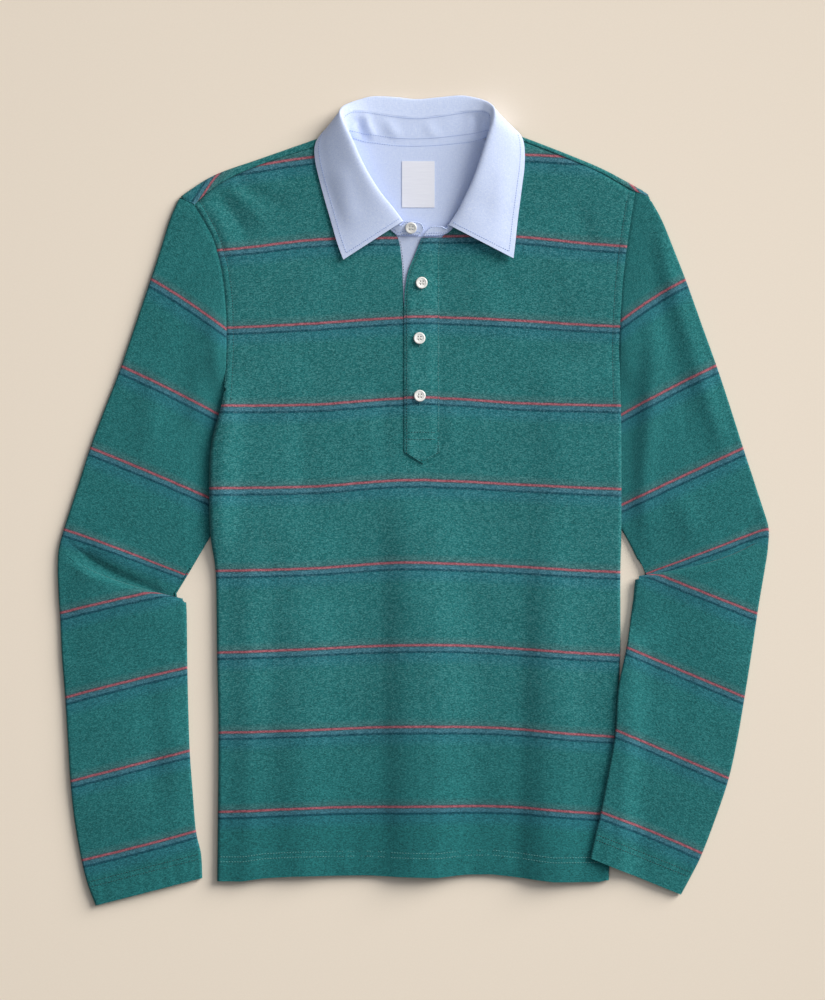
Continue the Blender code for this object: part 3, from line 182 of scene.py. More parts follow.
# Sleeves, a row for each section from the shoulder to the cuff: its outer end, the inner end
# and the height there of its upper layer, the inner end of its lower layer, how far its middle
# sags towards the cuff, and whether the underarm seam is closed there
SleeveRow = namedtuple("SleeveRow", "out_x out_y in_x in_y height low_x low_y sag closed",
                       defaults=[True])
SLEEVE = {
    LEFT: sleeve_table(
        (-227.4, 295, -147, 49.6, 2.55), (-236.4, 274.2, -153, 39, 2.55),
        (-246, 243.5, -160, 27.5, 2.55), (-255.8, 213.9, -167, 16, 2.55),
        (-270.5, 170.5, -175.5, 1.5, 2.55), (-286, 125.4, -185, -13.8, 2.55),
        (-300.5, 88.5, -195.1, -30.7, 2.55), (-314.3, 51.3, -202, -42.5, 2.9),
        (-326.5, 13.5, -209, -54.5, 2.9), (-335.5, -14, -215.5, -65.5, 2.7, -215, -64.5, 3),
        (-338.8, -24, -221, -74.5, 2.55, -219, -71.5, 5, False),
        (-341, -31, -233, -94.5, 2.55, -222.5, -77, 7, False),
        (-342.6, -36.5, -239.5, -105, 2.55, -225.5, -82, 8, False),
        (-343.6, -40.5, -240.3, -106.3, 3.45, -228, -86, 8, False),
        (-344.2, -43.5, -239, -104.6, 4.35, -230.3, -90, 8, False),
        (-344.7, -46.5, -222.6, -96, 4.35, -229.5, -94, 8, False),
        (-345.1, -49.5, -221.2, -96.1, 5.25, -223.5, -97.5, 8, False),
        (-345.4, -53, -220.6, -98.6, 6.15, -220.9, -100.5, 8),
        (-345.8, -66, -220.2, -106.5, 6.15, -220.2, -107.5, 5),
        (-345, -90, -220, -118, 6.1, -220, -119, 2), (-343.3, -116, -219.9, -131, 5.2),
        (-341.6, -152, -219.8, -145, 4.4), (-338.4, -192.3, -219.6, -162.9, 4.2),
        (-336, -232, -218.7, -203, 4.2), (-333.4, -272.7, -217.3, -243, 4.2),
        (-329.4, -311, -214.5, -282, 4.2), (-322.6, -349.2, -211.3, -320.6, 4.2),
        (-316.8, -372, -206.3, -343.1, 4.2), (-308.9, -393.1, -205.1, -366.4, 4.2)),
    RIGHT: sleeve_table(
        (230.7, 293.6, 157.3, 49.6, 2.55), (241.3, 274.2, 165.5, 36.5, 2.55),
        (252.5, 246, 173.5, 22.5, 2.55), (265.2, 213.9, 181.5, 9, 2.55),
        (280.2, 172, 189.5, -5, 2.55), (295.3, 130.3, 196.5, -17, 2.55),
        (308.3, 91, 202.4, -27.2, 2.55),
        (320.9, 51.6, 207.5, -36, 2.9), (330.8, 21.5, 212.5, -45.5, 2.9),
        (338.6, -2.5, 218, -57, 2.7, 217.5, -55.5, 3),
        (341.6, -11.5, 222.5, -67, 2.55, 222.2, -62, 5, False),
        (343.6, -17.5, 231, -87, 2.55, 224, -66, 7, False),
        (344.8, -21.5, 235.6, -98, 2.55, 225.2, -69.5, 9, False),
        (345.4, -24.5, 236.2, -99.3, 3.45, 225.5, -71.8, 10, False),
        (345.7, -27, 234.9, -97.7, 4.35, 222, -74.2, 10, False),
        (345.8, -29.5, 218, -74.2, 4.35, 219.2, -76.3, 10, False),
        (345.8, -32, 216.4, -73.9, 5.25, 217, -78.5, 10, False),
        (345.7, -35.5, 215.9, -76.4, 6.15, 216.2, -81, 10),
        (344.6, -49, 214.9, -84, 6.15, 215, -86, 7),
        (340.6, -74, 213.8, -96, 6.1, 213.8, -97, 3), (335.6, -104, 211.6, -111, 5.2),
        (329.4, -146, 209.6, -126, 4.4), (322.2, -191.2, 206.8, -143.2, 4.2),
        (315.4, -231, 198.8, -183, 4.2), (307, -269.3, 196.2, -223.5, 4.2),
        (294.8, -306.5, 189.4, -263, 4.2), (280.9, -343, 181.8, -302.3, 4.2),
        (271.4, -362.5, 176.4, -325, 4.2), (260.5, -382.6, 171.7, -346.3, 4.2))}
HEAD_ROWS = 7       # rows over which the armhole seam's curve dies out
# The end of each sleeve from its outer fold round the armhole to the hidden underarm
HEAD = {LEFT: [(-227.4, 295)] + EDGE[LEFT][:5] + [(-147, 49.6)],
        RIGHT: [(230.7, 293.6)] + EDGE[RIGHT][:5] + [(157.3, 49.6)]}
SLEEVE_COLUMNS = 36
LOW_COLUMNS = 12
FOREARM_ROW = 19    # from this row on the right sleeve may lie over the body's edge
OVER_BODY = TUCK_HEIGHTS[3] + LAYER + GAP   # lower layer of a sleeve that lies on the body
OVER_START = 7    # it has climbed this far outside the body's side
OVER_RAMP = 34    # plan length of its climb beside the body
OVER_ROWS = 3       # sections over which it reaches its full height
SIDE_END_Y = -371.0     # the body's side is followed no lower than this
PRESSED = 2.4       # between a sleeve's layers where it lies on the body
ELBOW_ROW = 11      # from this row on the upper layer follows the table's heights
SLEEVE_SETTLE = 0.28    # share of a section over which they are reached
UNDER_START = 4   # a sleeve's end is fully under the body this far outside its edge
UNDER_RAMP = 26
UNDER_TOP = UNDERARM_Y + 42
UNDER_RUN = 38

# Collar, a row for each section from the left front round the neck to the right front: the
# neck seam, the stand's top, the roll and the leaf's edge, each with its height, and how far
# the leaf bulges up between roll and edge
CollarRow = namedtuple("CollarRow", "seam top roll edge bulge")
COLLAR = table(
    CollarRow,
    ((-15.7, 258.8, 4.9), (-12.8, 268.3, 8.6), (-10.3, 271.3, 10.3), (-67.8, 234.4, 7.6), 1.2),
    ((-24, 265.4, 4.8), (-22, 281, 10.5), (-20, 284, 12.4), (-73.5, 250, 6.7), 1.6),
    ((-32.3, 272.4, 4.8), (-34, 296, 12.5), (-32.2, 299, 15), (-79.5, 271, 6.3), 2),
    ((-49, 294, 4.8), (-43.5, 311.5, 14.5), (-42.6, 315, 17), (-86, 293.5, 6.3), 2.2),
    ((-56, 308, 4.8), (-52, 328.5, 16), (-51.6, 331.9, 18.5), (-91.4, 314, 6.3), 2.2),
    ((-61.5, 325, 4.8), (-58.4, 344.5, 17), (-58.5, 348, 19.6), (-95, 331, 6.3), 2.2),
    ((-64.4, 338, 4.6), (-64.8, 359, 17.4), (-65.4, 362.5, 20), (-95.2, 345, 6.3), 2),
    ((-64.6, 348, 3.6), (-68.2, 370.6, 16.6), (-70.4, 374.6, 18.4), (-89.6, 355.6, 5.6), 1.2),
    ((-62, 353.4, 2.6), (-65, 375.6, 14), (-68.4, 381, 14), (-79.8, 361.4, 2.4), 0.2),
    ((-56.5, 351.2, 2.1), (-58.4, 379, 10.6), (-61.6, 385.4, 9.6), (-68.4, 364, 1), -0.8),
    ((-46.5, 348, 1.9), (-48, 379.3, 7.8), (-50.6, 389.4, 6.4), (-56, 362.4, 0.75), -1.2),
    ((-37, 346.8, 1.9), (-37.6, 378, 6.6), (-38.8, 392.1, 5), (-42.4, 361, 0.75), -1.4),
    ((-17.5, 344.4, 1.9), (-18, 375, 5.9), (-18, 391.4, 4.4), (-19.6, 359.5, 0.75), -1.4),
    ((3, 344, 1.9), (3, 373.2, 5.6), (3, 389.3, 4.2), (3, 358.5, 0.75), -1.4),
    ((24, 344.8, 1.9), (24, 375, 5.9), (24, 391, 4.4), (26, 359.5, 0.75), -1.4),
    ((44, 346.6, 1.9), (44.4, 378.2, 6.6), (45, 392.9, 5), (48.6, 361, 0.75), -1.4),
    ((54.5, 347.8, 1.9), (55.6, 379.6, 8), (57.4, 391.4, 6.4), (63, 363, 0.75), -1.2),
    ((65.5, 350.6, 2.1), (66, 379.6, 10.6), (68, 388.2, 9.6), (76.6, 366, 1), -0.8),
    ((72, 353.6, 2.6), (71.8, 377.6, 14.2), (74.4, 384.4, 14), (88.6, 364.4, 2.4), 0.2),
    ((74.8, 352.4, 3.6), (75, 373.6, 16.6), (78, 378.8, 18.4), (98.4, 360.6, 5.6), 1.2),
    ((74.4, 344, 4.6), (74.8, 364.6, 17.6), (77.2, 369, 20.2), (105.6, 352.4, 6.3), 2),
    ((72, 332, 4.8), (72.6, 352.5, 17.4), (73.6, 357, 20.2), (108, 340, 6.3), 2.2),
    ((68.6, 318.6, 4.8), (68.4, 337, 16.6), (68.4, 340.5, 19.4), (107.6, 322.5, 6.3), 2.2),
    ((63.6, 304, 4.8), (63.2, 320, 15.2), (62.8, 323.5, 18), (105.4, 305, 6.3), 2.2),
    ((57.8, 292, 4.8), (57.4, 304.5, 13.8), (56.8, 308, 16.4), (103.2, 287.5, 6.3), 2.2),
    ((50, 279.5, 4.8), (50.4, 290, 12.2), (50, 293.4, 14.4), (101, 270, 6.4), 2),
    ((42.4, 270, 5), (43, 277.4, 10.6), (43.6, 280.4, 12.6), (99.2, 252.5, 8.2), 2),
    ((32.6, 260.6, 5.8), (33.4, 265.2, 9.6), (35.2, 267.4, 10.9), (97.2, 235.5, 10.4), 1.8))
# The stand's front tabs beyond the leaf: seam and top of each section, from the tip inwards
LEFT_TAB = [((6.6, 258.5, 5), (10.2, 264, 7.2)), ((4.2, 258.5, 5), (7.6, 269.4, 8.6)),
            ((-3, 258.5, 5), (-1.6, 271.6, 9.2)), ((-9.4, 258.6, 5), (-8, 271.2, 9))]
RIGHT_TAB = [((24.4, 258.2, 6.6), (27.2, 266.6, 9.4)), ((16.4, 257.9, 6.8), (18, 266.4, 9.2)),
             ((10.4, 257.8, 6.8), (13.4, 262.6, 8.4))]
STAND_STEPS = 12
LEAF_START = -0.4   # the leaf starts this far past the stand's top
LEAF_NEAR = 0.12    # place of the leaf's first shaping point between roll and edge
LEAF_MIDDLE = 0.5
MIDDLE_BULGE = 0.8  # the leaf's bulge there, of the bulge at the first point
LEAF_FALL = 0.35    # from this share of its section on the leaf lies flat, with its folds
LEAF_FALL_RUN = 0.2

# Facing and label inside the neck
FACING_BOTTOM_Y = 243
FACING_MIDDLE_X = 5
FACING_ROUND = 34     # how much higher its lower edge ends at the sides
FACING_CURVE = 2.4    # how flat that edge is along its middle
FACING_TUCK = 2.2   # how far it reaches under the stand
FACING_NARROWS = 0.3    # how far round a cosine it narrows towards its lower edge
FACING_COLUMNS = 24
FACING_ROWS = 20
FACING_HEIGHT = KNIT + GAP + WOVEN / 2
LABEL_CORNER = (-10.9, 285.4)
LABEL_SIZE = (31.8, 45.1)
LABEL_HEIGHT = FACING_HEIGHT + WOVEN + GAP - 0.45
LABEL_BOW = 0.2

# Placket pieces, a row for each section: height along the shirt and both edges
BandRow = namedtuple("BandRow", "left_y left_x right_y right_x")
TOP_BAND = table(
    BandRow,
    (255.6, 8, 256, BAND_RIGHT + 1.6), (240, 2, 240, BAND_RIGHT), (224.1, -4.5, 224.1, BAND_RIGHT),
    (211, -7.1, 211, BAND_RIGHT), (195.4, BAND_LEFT, 195.4, BAND_RIGHT),
    (150, BAND_LEFT, 150, BAND_RIGHT), (105, BAND_LEFT, 105, BAND_RIGHT),
    (63, BAND_LEFT, 63, BAND_RIGHT), (BAND_FOOT_Y, BAND_LEFT, BAND_FOOT_Y, BAND_RIGHT))
UNDER_BAND = table(
    BandRow,
    (257.3, -14.9, 256.9, 26.2), (232, -10.9, 228, 23.9), (196, -9.4, 190, 23.2),
    (155, -6.8, 152, 23.2), (120, -6.8, 118, 23.2), (91, -6.8, 90, 23.2), (63.6, -6.8, 63.6, 23.2))
BAND_COLUMNS = 20

# Buttons down the placket, and the one on the left tab with its tilt
BUTTONS = [(8.2, 211.9), (6.1, 158.1), (6.4, 102.2)]
COLLAR_BUTTON = (-2.2, 265, 9.6)
TAB_TILT = 17.8

# How much finer than the solids these shells are
SIDE_STEPS = 50     # points of the body's sides
ROW_STEPS = 6       # lines for each section of the front and the sleeves
STAND_FINER = 6     # lines for each section of the collar
BAND_FINER = 8      # lines for each section of the placket
BACK_STEPS = 3      # lines for each section of the back
LEAF_STEPS = 30
LABEL_STEPS = 10
LABEL_WALL = 0.3
EDGE_EASE = 1.4     # packs the front's columns towards its outer edge
FOLD_ANGLES = range(18, 180, 18)
INNER_ANGLES = (22.5, 45, 67.5, 90)
PLEAT_FIRST = 9     # sections of a sleeve between which its elbow is folded
PLEAT_LAST = 17
SEAM_TUCK = 2.5     # how far a panel's edge reaches under its neighbour at a seam
SEAM_UNDER = 1.9    # how much lower that edge lies, and how far the seam's own line sinks
SEAM_SINK = 0.9
HEAD_TUCK = (0.3, -0.1)     # towards the collar, of a sleeve's tuck, and its lower layer's share
HEAD_FADE = 1.4     # how early in its run the armhole's curve dies out
SAG_SIDE = 0.7      # below 1 a sleeve's section sags more near its outer end
SLEEVE_CROWN = 1.3  # how far a sleeve's upper layer stands up along its middle
CROWN_ROWS = 2      # sections below the armhole over which it comes to that
DRAWN_POINTS = 6    # points at a layer's end that make room for the sleeve's fold
HEAD_DROPS = (1.6, 0.9, 0.15)   # how far a sleeve's first lines lie under the body's edge
WEAVE = "weave"     # the cloth's own coordinates, across and down
DYE = "dye"         # across, and the place in the stripes' repeat

# Sewn lines, as distances from the edge or seam that they follow
HEM_STITCH = 23.8
HEM_TWIN = 4.8
HEM_RELIEF_RUN = 60
STITCH_DIP = 1.6        # half width of the dip along a sewn line
HEM_DIP = 0.4
HEM_DOUBLE = 0.35       # how much higher the turned-up edge stands, and over what run
HEM_DOUBLE_RUN = 3.0
PUCKER_WIDTH = 5.5      # the hem's puckers along it, across it, and where they are highest
PUCKER_LENGTH = 40.0
PUCKER_SEED = 3.7
PUCKER_PLACE = HEM_STITCH * 0.6
PUCKER_REACH = 17.0
ARMHOLE_STITCH = 7.2
ARMHOLE_DIP = 0.32
ARMHOLE_RISE = 0.22     # how much higher the body stands between that line and the seam
ARMHOLE_RISE_RUN = 2.0
DITCH = {LEFT: 1.05, RIGHT: 0.35}   # how far its edge dips into the armhole seam
DITCH_RUN = 1.6
DITCH_POINTS = 8        # points of the flat cloth that the dip may reach
BAND_STITCH = 2.4
BAND_SETTLE = 1.62  # how far the top band's sewn edge sinks to the front's level
BAND_BARS = (67, 60)
BAND_DIP = 1.1      # half width of the dip along its sewn lines
BAND_DIP_DEPTH = 0.35
BAND_SETTLE_RUN = 7.5
BAND_SEWN_Y = BAND_FOOT_Y + 2   # from here up its right edge sinks, over a run
BAND_SEWN_RUN = 16
BAND_OPEN_Y = 203.0     # below this its left edge sinks more, over a run
BAND_OPEN_RUN = 12
BAND_EDGE = 0.3         # how far that edge sinks, and how much more over the slot
BAND_SLOT_EDGE = 0.45
BAND_EDGE_RUN = 1.3
BAND_RISE = 0.3         # how much it stands up beside its left sewn line, and where
BAND_RISE_X = 5.5
BAND_RISE_WIDTH = 3.0
FOOT_SHARES = (0.12, 0.3, 0.5, 0.7, 0.86, 0.95, 1.0)    # lines between the band and its foot
LEAF_STITCH = 5.3
LEAF_DIP = 0.28
LEAF_DIP_WIDTH = 1.3

# Stitches
THREAD_RAISED = 0.02    # a stitch's middle above the knit's face
FINE_STITCH = 0.85      # the shirting's stitches and their pitch, as shares of the knit's
FINE_PITCH = 0.87
ARMHOLE_LINE = [292.0 - step * 2.2 for step in range(90)]   # heights down the armholes' lines
HEM_LINE = [-188.0 + step * 3.14 for step in range(120)]    # places along the hem's lines
BAND_INSETS = ((0, BAND_STITCH), (-1, -BAND_STITCH * 0.6))  # from the top band's two edges
FOOT_STITCH = BAND_STITCH * 1.1
BAND_THREAD = 0.12      # how much further out its threads lie, and those of its bars
BAR_THREAD = 0.15
UNDER_LINES = range(2, 19)      # lines of the under band along which its sewn edge shows
UNDER_COLUMN = 0.6
BUTTONHOLE = (5.4, 9.4)         # its bar's ends, down from the button's middle
STAND_COLUMNS = (0.5, 3.4, STAND_STEPS - 0.7)   # of the stand's three lines
LEAF_COLUMN = 10        # where the leaf's line starts on its front edges
LEAF_CORNER = 2         # lines from each end of the leaf to its corner, and to where it is hidden
LEAF_HIDDEN = 44
LEAF_SECTION = 16.5     # length of the leaf's first section along its edge

# Buttons
BUTTON_THICKNESS = 2.4
BUTTON_PROFILE = [(0.0, 0.82), (3.2, 0.82), (3.8, 0.9), (4.2, 1.08), (4.6, 1.18), (5.1, 1.12),
                  (5.5, 0.92), (5.7, 0.5), (5.7, 0.0), (5.5, -0.6), (4.9, -1.0), (3.6, -1.2),
                  (0.0, -1.2)]
HOLE_SPACING = 2.6
HOLE_RADIUS = 0.62
BUTTON_SEGMENTS = 48
HOLE_SEGMENTS = 16
# A bar of its thread: y, as a share of half the holes' spacing, and z
BUTTON_BAR = ((-0.8, 0.7), (-0.5, 0.95), (0.5, 0.95), (0.8, 0.7))

# Soft folds: a line of points, the fold's half width and height, and the shares of its length
# over which it fades in and out
Fold = namedtuple("Fold", "line half_width height fade_in fade_out")
BODY_FOLDS = table(
    Fold,
    (((-33, 60), (-31, -40), (-28, -160), (-26, -372)), 6.5, -0.8, 0.35, 0.02),
    (((112, 20), (109, -80), (106, -200), (102, -372)), 7, -0.8, 0.4, 0.02),
    (((-134, 30), (-133, -120), (-130, -372)), 9, -1.3, 0.3, 0.02),
    (((168, 20), (166, -120), (160, -372)), 10, 1.4, 0.3, 0.02),
    (((24, 60), (24, -120), (22, -372)), 13, 0.9, 0.4, 0.02),
    (((60, 40), (60, -120), (60, -372)), 12, -0.7, 0.4, 0.02),
    (((38, 110), (36, 60), (33, 0)), 8, 0.9, 0.3, 0.5),
    (((-112, 110), (-108, 40), (-102, -20)), 10, -1.1, 0.4, 0.4),
    (((-150, 120), (-146, 40), (-142, -20)), 10, 1, 0.4, 0.4),
    (((-194, 304), (-172, 274), (-152, 240)), 6.5, -1.5, 0.3, 0.4),
    (((-180, 314), (-146, 296), (-108, 276)), 7.5, -1.3, 0.3, 0.4),
    (((-184, 312), (-158, 285), (-134, 254)), 6, 1.2, 0.3, 0.4),
    (((-198, 292), (-184, 262), (-172, 228)), 6, 1, 0.3, 0.4),
    (((-31, 120), (-29, 60), (-27, 10)), 7, -1.1, 0.3, 0.3),
    (((150, 304), (166, 268), (174, 230)), 8, -0.9, 0.4, 0.4),
    (((70, 250), (88, 214), (96, 170)), 12, -0.7, 0.4, 0.4),
    (((-60, 250), (-80, 200), (-86, 150)), 12, -0.6, 0.4, 0.4))
# The body's left side, which stands up beside the sleeve
SIDE_FOLDS = [Fold(((-182, 134), (-180, 91), (-186, 40), (-188, -20), (-186, -80)),
                   14, 5.5, 0.3, 0.3)]
SLEEVE_FOLDS = {
    LEFT: table(
        Fold,
        (((-326, -45), (-306, -62), (-284, -74), (-262, -81), (-242, -86)), 6.5, -2.1, 0.15, 0.15),
        (((-316, -36), (-286, -54), (-256, -68)), 8, 1.3, 0.3, 0.3),
        (((-330, -66), (-306, -80), (-280, -90)), 8, 0.7, 0.3, 0.4),
        (((-190, 200), (-186, 150), (-190, 104)), 14, 3.5, 0.3, 0.35),
        (((-246, 150), (-254, 90), (-262, 30)), 12, 1.6, 0.3, 0.4),
        (((-226, 190), (-222, 120), (-226, 50)), 10, -0.9, 0.3, 0.3),
        (((-262, -150), (-254, -230), (-250, -320)), 12, -1, 0.4, 0.4),
        (((-236, -150), (-232, -240), (-228, -340)), 12, 1.2, 0.4, 0.2)),
    RIGHT: table(
        Fold,
        (((240, 272), (249, 222), (265, 171), (291, 84), (315, 16)), 10, 2.9, 0.12, 0.3),
        (((234, 200), (233, 150), (230, 88), (223, 40), (220, 0), (225, -50)), 10, 2.9, 0.3, 0.2),
        (((205, 215), (203, 150), (205, 104)), 9, 2.2, 0.3, 0.3),
        (((226, 250), (243, 170), (261, 105), (270, 30)), 9, -1, 0.25, 0.35),
        (((340, -4), (331, -16), (318, -34)), 5, -1.4, 0.3, 0.3),
        (((248, 20), (264, -10), (276, -50)), 10, 1.4, 0.4, 0.4),
        (((230, -88), (222, -150), (212, -230), (206, -310)), 13, 2.4, 0.2, 0.3),
        (((270, -120), (258, -200), (246, -290)), 14, -0.9, 0.4, 0.3))}
STAND_FOLDS = table(
    Fold,
    (((-46, 380), (-44, 366), (-38, 350)), 4, 1.7, 0.2, 0.2),
    (((-55, 374), (-52, 361), (-50, 350)), 4, -1.4, 0.2, 0.2),
    (((-26, 374), (-22, 362), (-14, 350)), 5, 1.1, 0.2, 0.3),
    (((14, 372), (17, 360), (26, 350)), 5, 0.7, 0.3, 0.3),
    (((58, 380), (62, 368), (60, 352)), 4, -1.4, 0.2, 0.2))
LEAF_FOLDS = table(
    Fold,
    (((-92, 322), (-80, 296), (-70, 270)), 4.5, -0.45, 0.3, 0.3),
    (((-72, 330), (-66, 300), (-58, 262)), 9, 1.1, 0.3, 0.3),
    (((88, 334), (84, 300), (80, 262)), 9, 0.8, 0.3, 0.3))

# The cloths' slow unevenness: its height, its size and its place in the noise
BODY_UNEVEN = (0.6, 48.0, 1.3)
SLEEVE_UNEVEN = (0.5, 45.0)
STAND_UNEVEN = (0.18, 14.0, 5.0)
BAND_UNEVEN = (0.12, 9.0, 8.0)
FOLDS_PRESSED = 0.75    # share of the front's folds lost over the tucked strips
HEM_PRESSED = 0.6       # share of the hem's relief lost there
SLEEVE_PRESSED = 0.65   # share of a sleeve's folds lost where it lies over or under the body
CUFF_RELIEF = 0.8       # a cuff's relief, as a share of the hem's

# Stripe repeat: its height, the stations across the body, and the height of every red line there
STRIPE_PITCH = 79.3
STRIPE_STATIONS = (-184, -94.5, -15, 36, 100, 187)
BODY_STRIPES = [
    (322, 334.4, 337, 337, 336.7, 333),
    (244.2, 253.9, 255.7, 257.2, 256.8, 248.9),
    (168.3, 172.6, 177.8, 178.1, 175.3, 170.2),
    (92.5, 93.7, 99.4, 99.4, 95.1, 92.9),
    (12.5, 14.1, 19.9, 19.3, 16, 12.1),
    (-67.7, -65.4, -60, -60.9, -63.9, -68.5),
    (-147.1, -143.7, -140.3, -140.1, -143.5, -149),
    (-224.9, -222.4, -219.4, -219.3, -221.7, -228.4),
    (-301.8, -298.2, -296.9, -296.4, -297.5, -303.8),
]
STRIPE_PAST = 0.6   # share of a station's width that the lines run on past the outer ones
STRIPE_FIRST = -0.55    # a sleeve's dye starts at this place of the repeat
BACK_SLOPE = 0.058  # the back's stripes fall this much towards its right shoulder
BAND_SHIFT = 0.6    # the top band's stripes sit this much higher than the front's
# The sleeves' red lines from the outer to the inner edge, and how far each bows upwards: four
# above the elbow's pleat and four below it
StripeLine = namedtuple("StripeLine", "out_x out_y in_x in_y bow")
SLEEVE_STRIPES = {
    LEFT: table(
        StripeLine,
        (-255, 216, -182.4, 167.2, 1.5), (-286, 132, -189.9, 84.6, 1),
        (-314.3, 51.8, -195.1, 1.5, 0.8), (-340.2, -27.5, -220.9, -74.1, 1.5),
        (-343.4, -109, -248.3, -87.5, 0.8),
        (-337.2, -190.8, -219.6, -161.9, 0.8), (-332.3, -272.2, -217.3, -242.6, 0),
        (-321.1, -349, -211.3, -320.8, -0.6)),
    RIGHT: table(
        StripeLine,
        (265.2, 215.4, 200.9, 174, 2), (295.3, 131.8, 202.8, 84.1, 1),
        (320.9, 51.4, 202.4, -4, 0.3),
        (336.1, -30.6, 247.5, -67.8, -0.4), (334.5, -109.5, 236.2, -70.6, 0),
        (321.2, -190.3, 207.4, -142.2, 0), (305.1, -268.9, 196.2, -221.9, 0),
        (279.3, -341.8, 181.8, -301.6, 1))}

# Backdrop and camera, in metres
FLOOR_SIZE = 9.0    # half the backdrop's width
FLOOR_DROP = 0.0003     # how far it lies under the shirt
# The camera above the photograph's middle
CAMERA_PLACE = (-0.00068, 0.00102, 3.0)

# Light: a broad low window from the upper right, and a soft one overhead
WINDOW_PLACE = (2.1, 1.5, 1.2)
OVERHEAD_PLACE = (0.25, 0.1, 1.1)
OVERHEAD_SIZE = 1.0
OVERHEAD_TINT = (0.94, 0.98, 1.06)
WINDOW_TINT = (1.0, 0.98, 0.945)
ROOM_TINT = (0.94, 0.97, 1.02, 1.0)

surfaces = {}   # rows of points of every cloth piece, for what is sewn on it


def smooth(value):
    """0 below 0, 1 above 1, an S-curve between."""
    value = min(max(value, 0.0), 1.0)
    return value * value * (3 - 2 * value)


def mix(start, end, share):
    """Value at a share of the way from start to end."""
    return start + (end - start) * share


def at_height(points, y):
    """x of a line of (x, y) points, running down, at the height y."""
    for upper, lower in zip(points, points[1:]):
        if y >= lower[1] or lower is points[-1]:
            return mix(upper[0], lower[0], (upper[1] - y) / (upper[1] - lower[1]))


def across(points, x):
    """y of a line of (x, y) points, running right, at x."""
    for left, right in zip(points, points[1:]):
        if x <= right[0] or right is points[-1]:
            return mix(left[1], right[1], max((x - left[0]) / (right[0] - left[0]), 0.0))


def curved(points, index, share):
    """Value on the smooth curve through neighbours in a list, between index and the next."""
    before = points[max(index - 1, 0)]
    start, end = points[index], points[index + 1]
    after = points[min(index + 2, len(points) - 1)]
    return (start * 2 + (end - before) * share
            + (before * 2 - start * 5 + end * 4 - after) * share ** 2
            + (start * 3 - before - end * 3 + after) * share ** 3) / 2


def along(points, share):
    """Point at a share from 0 to 1 of a line: straight between two points, else a smooth curve."""
    points = [Vector(point) for point in points]
    if len(points) == 2:
        return points[0].lerp(points[1], share)
    place = share * (len(points) - 1)
    index = min(int(place), len(points) - 2)
    return curved(points, index, place - index)


def spread(points, count):
    """count + 1 points along a line."""
    return [along(points, step / count) for step in range(count + 1)]


def finer(rows, steps, sharp=()):
    """(place, row) pairs that fill a table of sections, smoothly save beside the sharp rows."""
    made = []
    for index in range(len(rows) - 1):
        straight = index in sharp or index + 1 in sharp
        for step in range(steps):
            share = step / steps
            values = [mix(*column[index:index + 2], share) if straight
                      else curved(column, index, share) for column in zip(*rows)]
            made.append((index + share, type(rows[0])(*values)))
    made.append((float(len(rows) - 1), rows[-1]))
    return made


# The body's sides as smooth lines
SIDE = {hand: [tuple(point) for point in spread(EDGE[hand], SIDE_STEPS)]
        for hand in (LEFT, RIGHT)}


def in_from_side(x, y):
    """How far a point of the body lies in from the nearer side."""
    return min(x - at_height(SIDE[LEFT], y), at_height(SIDE[RIGHT], y) - x)


def lift(x, y, reach, run, top, bottom):
    """1 over the tucked strips and the hidden sleeve ends, 0 where the body lies low."""
    inwards = 1 - smooth((in_from_side(x, y) - reach) / run)
    return inwards * smooth((top - y) / (top - bottom))


def back_height(x, y):
    """Middle of the back panel: on the surface, and raised over what is tucked under it."""
    return mix(FLOOR_LAYER, TUCK_HEIGHTS[2], lift(x, y, *BACK_LIFT))


def turned_edge(start, outwards, radius, share, with_strip):
    """Points past the flat cloth's end: the turn over the side's fold, then the strip."""
    points = []
    for angle in TURN_ANGLES:
        turn = math.radians(angle)
        if share > 0:
            bend = radius / max(share, 0.01)
            points.append(start + outwards * bend * math.sin(turn * share)
                          - Z * bend * (1 - math.cos(turn * share)))
        else:
            points.append(start + outwards * radius * turn)
    below = start - Z * radius * 2
    reach = TUCK if with_strip else 0
    return points + [below - outwards * reach / 2, below - outwards * reach]


def turn_share(y):
    """How far the front's edge turns down: not at the armhole seam, fully on the fold."""
    return smooth((UNDERARM_Y + TURN_RUN / 2 - y) / TURN_RUN)


def turn_reach(y):
    """Plan distance from the flat cloth's end to the front's outline."""
    share = turn_share(y)
    turn = math.radians(TURN_ANGLES[HALF_TURN - 1])
    if share <= 0:
        return FOLD_OUT * turn + GAP
    return FOLD_OUT / share * math.sin(turn * share) + mix(GAP, KNIT / 2, share)


def hem_share(y):
    """0 above the hem's wave, 1 at the hem."""
    return smooth((HEM_WAVE_TOP - y) / (HEM_WAVE_TOP - HEM_MIDDLE_Y))


def hem_wave(x, y):
    """How far the hem's wave moves a point of the last rows."""
    straight = mix(HEM_MIDDLE_Y, HEM_END_Y, min(abs(x) / HEM_HALF_WIDTH, 1.0))
    return (across(HEM, x) - straight) * hem_share(y)


def back_edge(hand, y):
    """x of the back panel's outer end: just inside the front's turned edge."""
    armhole = ARMHOLE[hand]
    if y > armhole[-1][1]:
        return at_height(armhole, y) - hand * ARMHOLE_GAP
    centre = at_height(SIDE[hand], y) - hand * turn_reach(y)
    if y <= TUCK_TOP_Y:
        return centre
    return centre + hand * mix(turn_reach(y) - GAP, INSIDE_TURN, min(turn_share(y) * 3, 1.0))


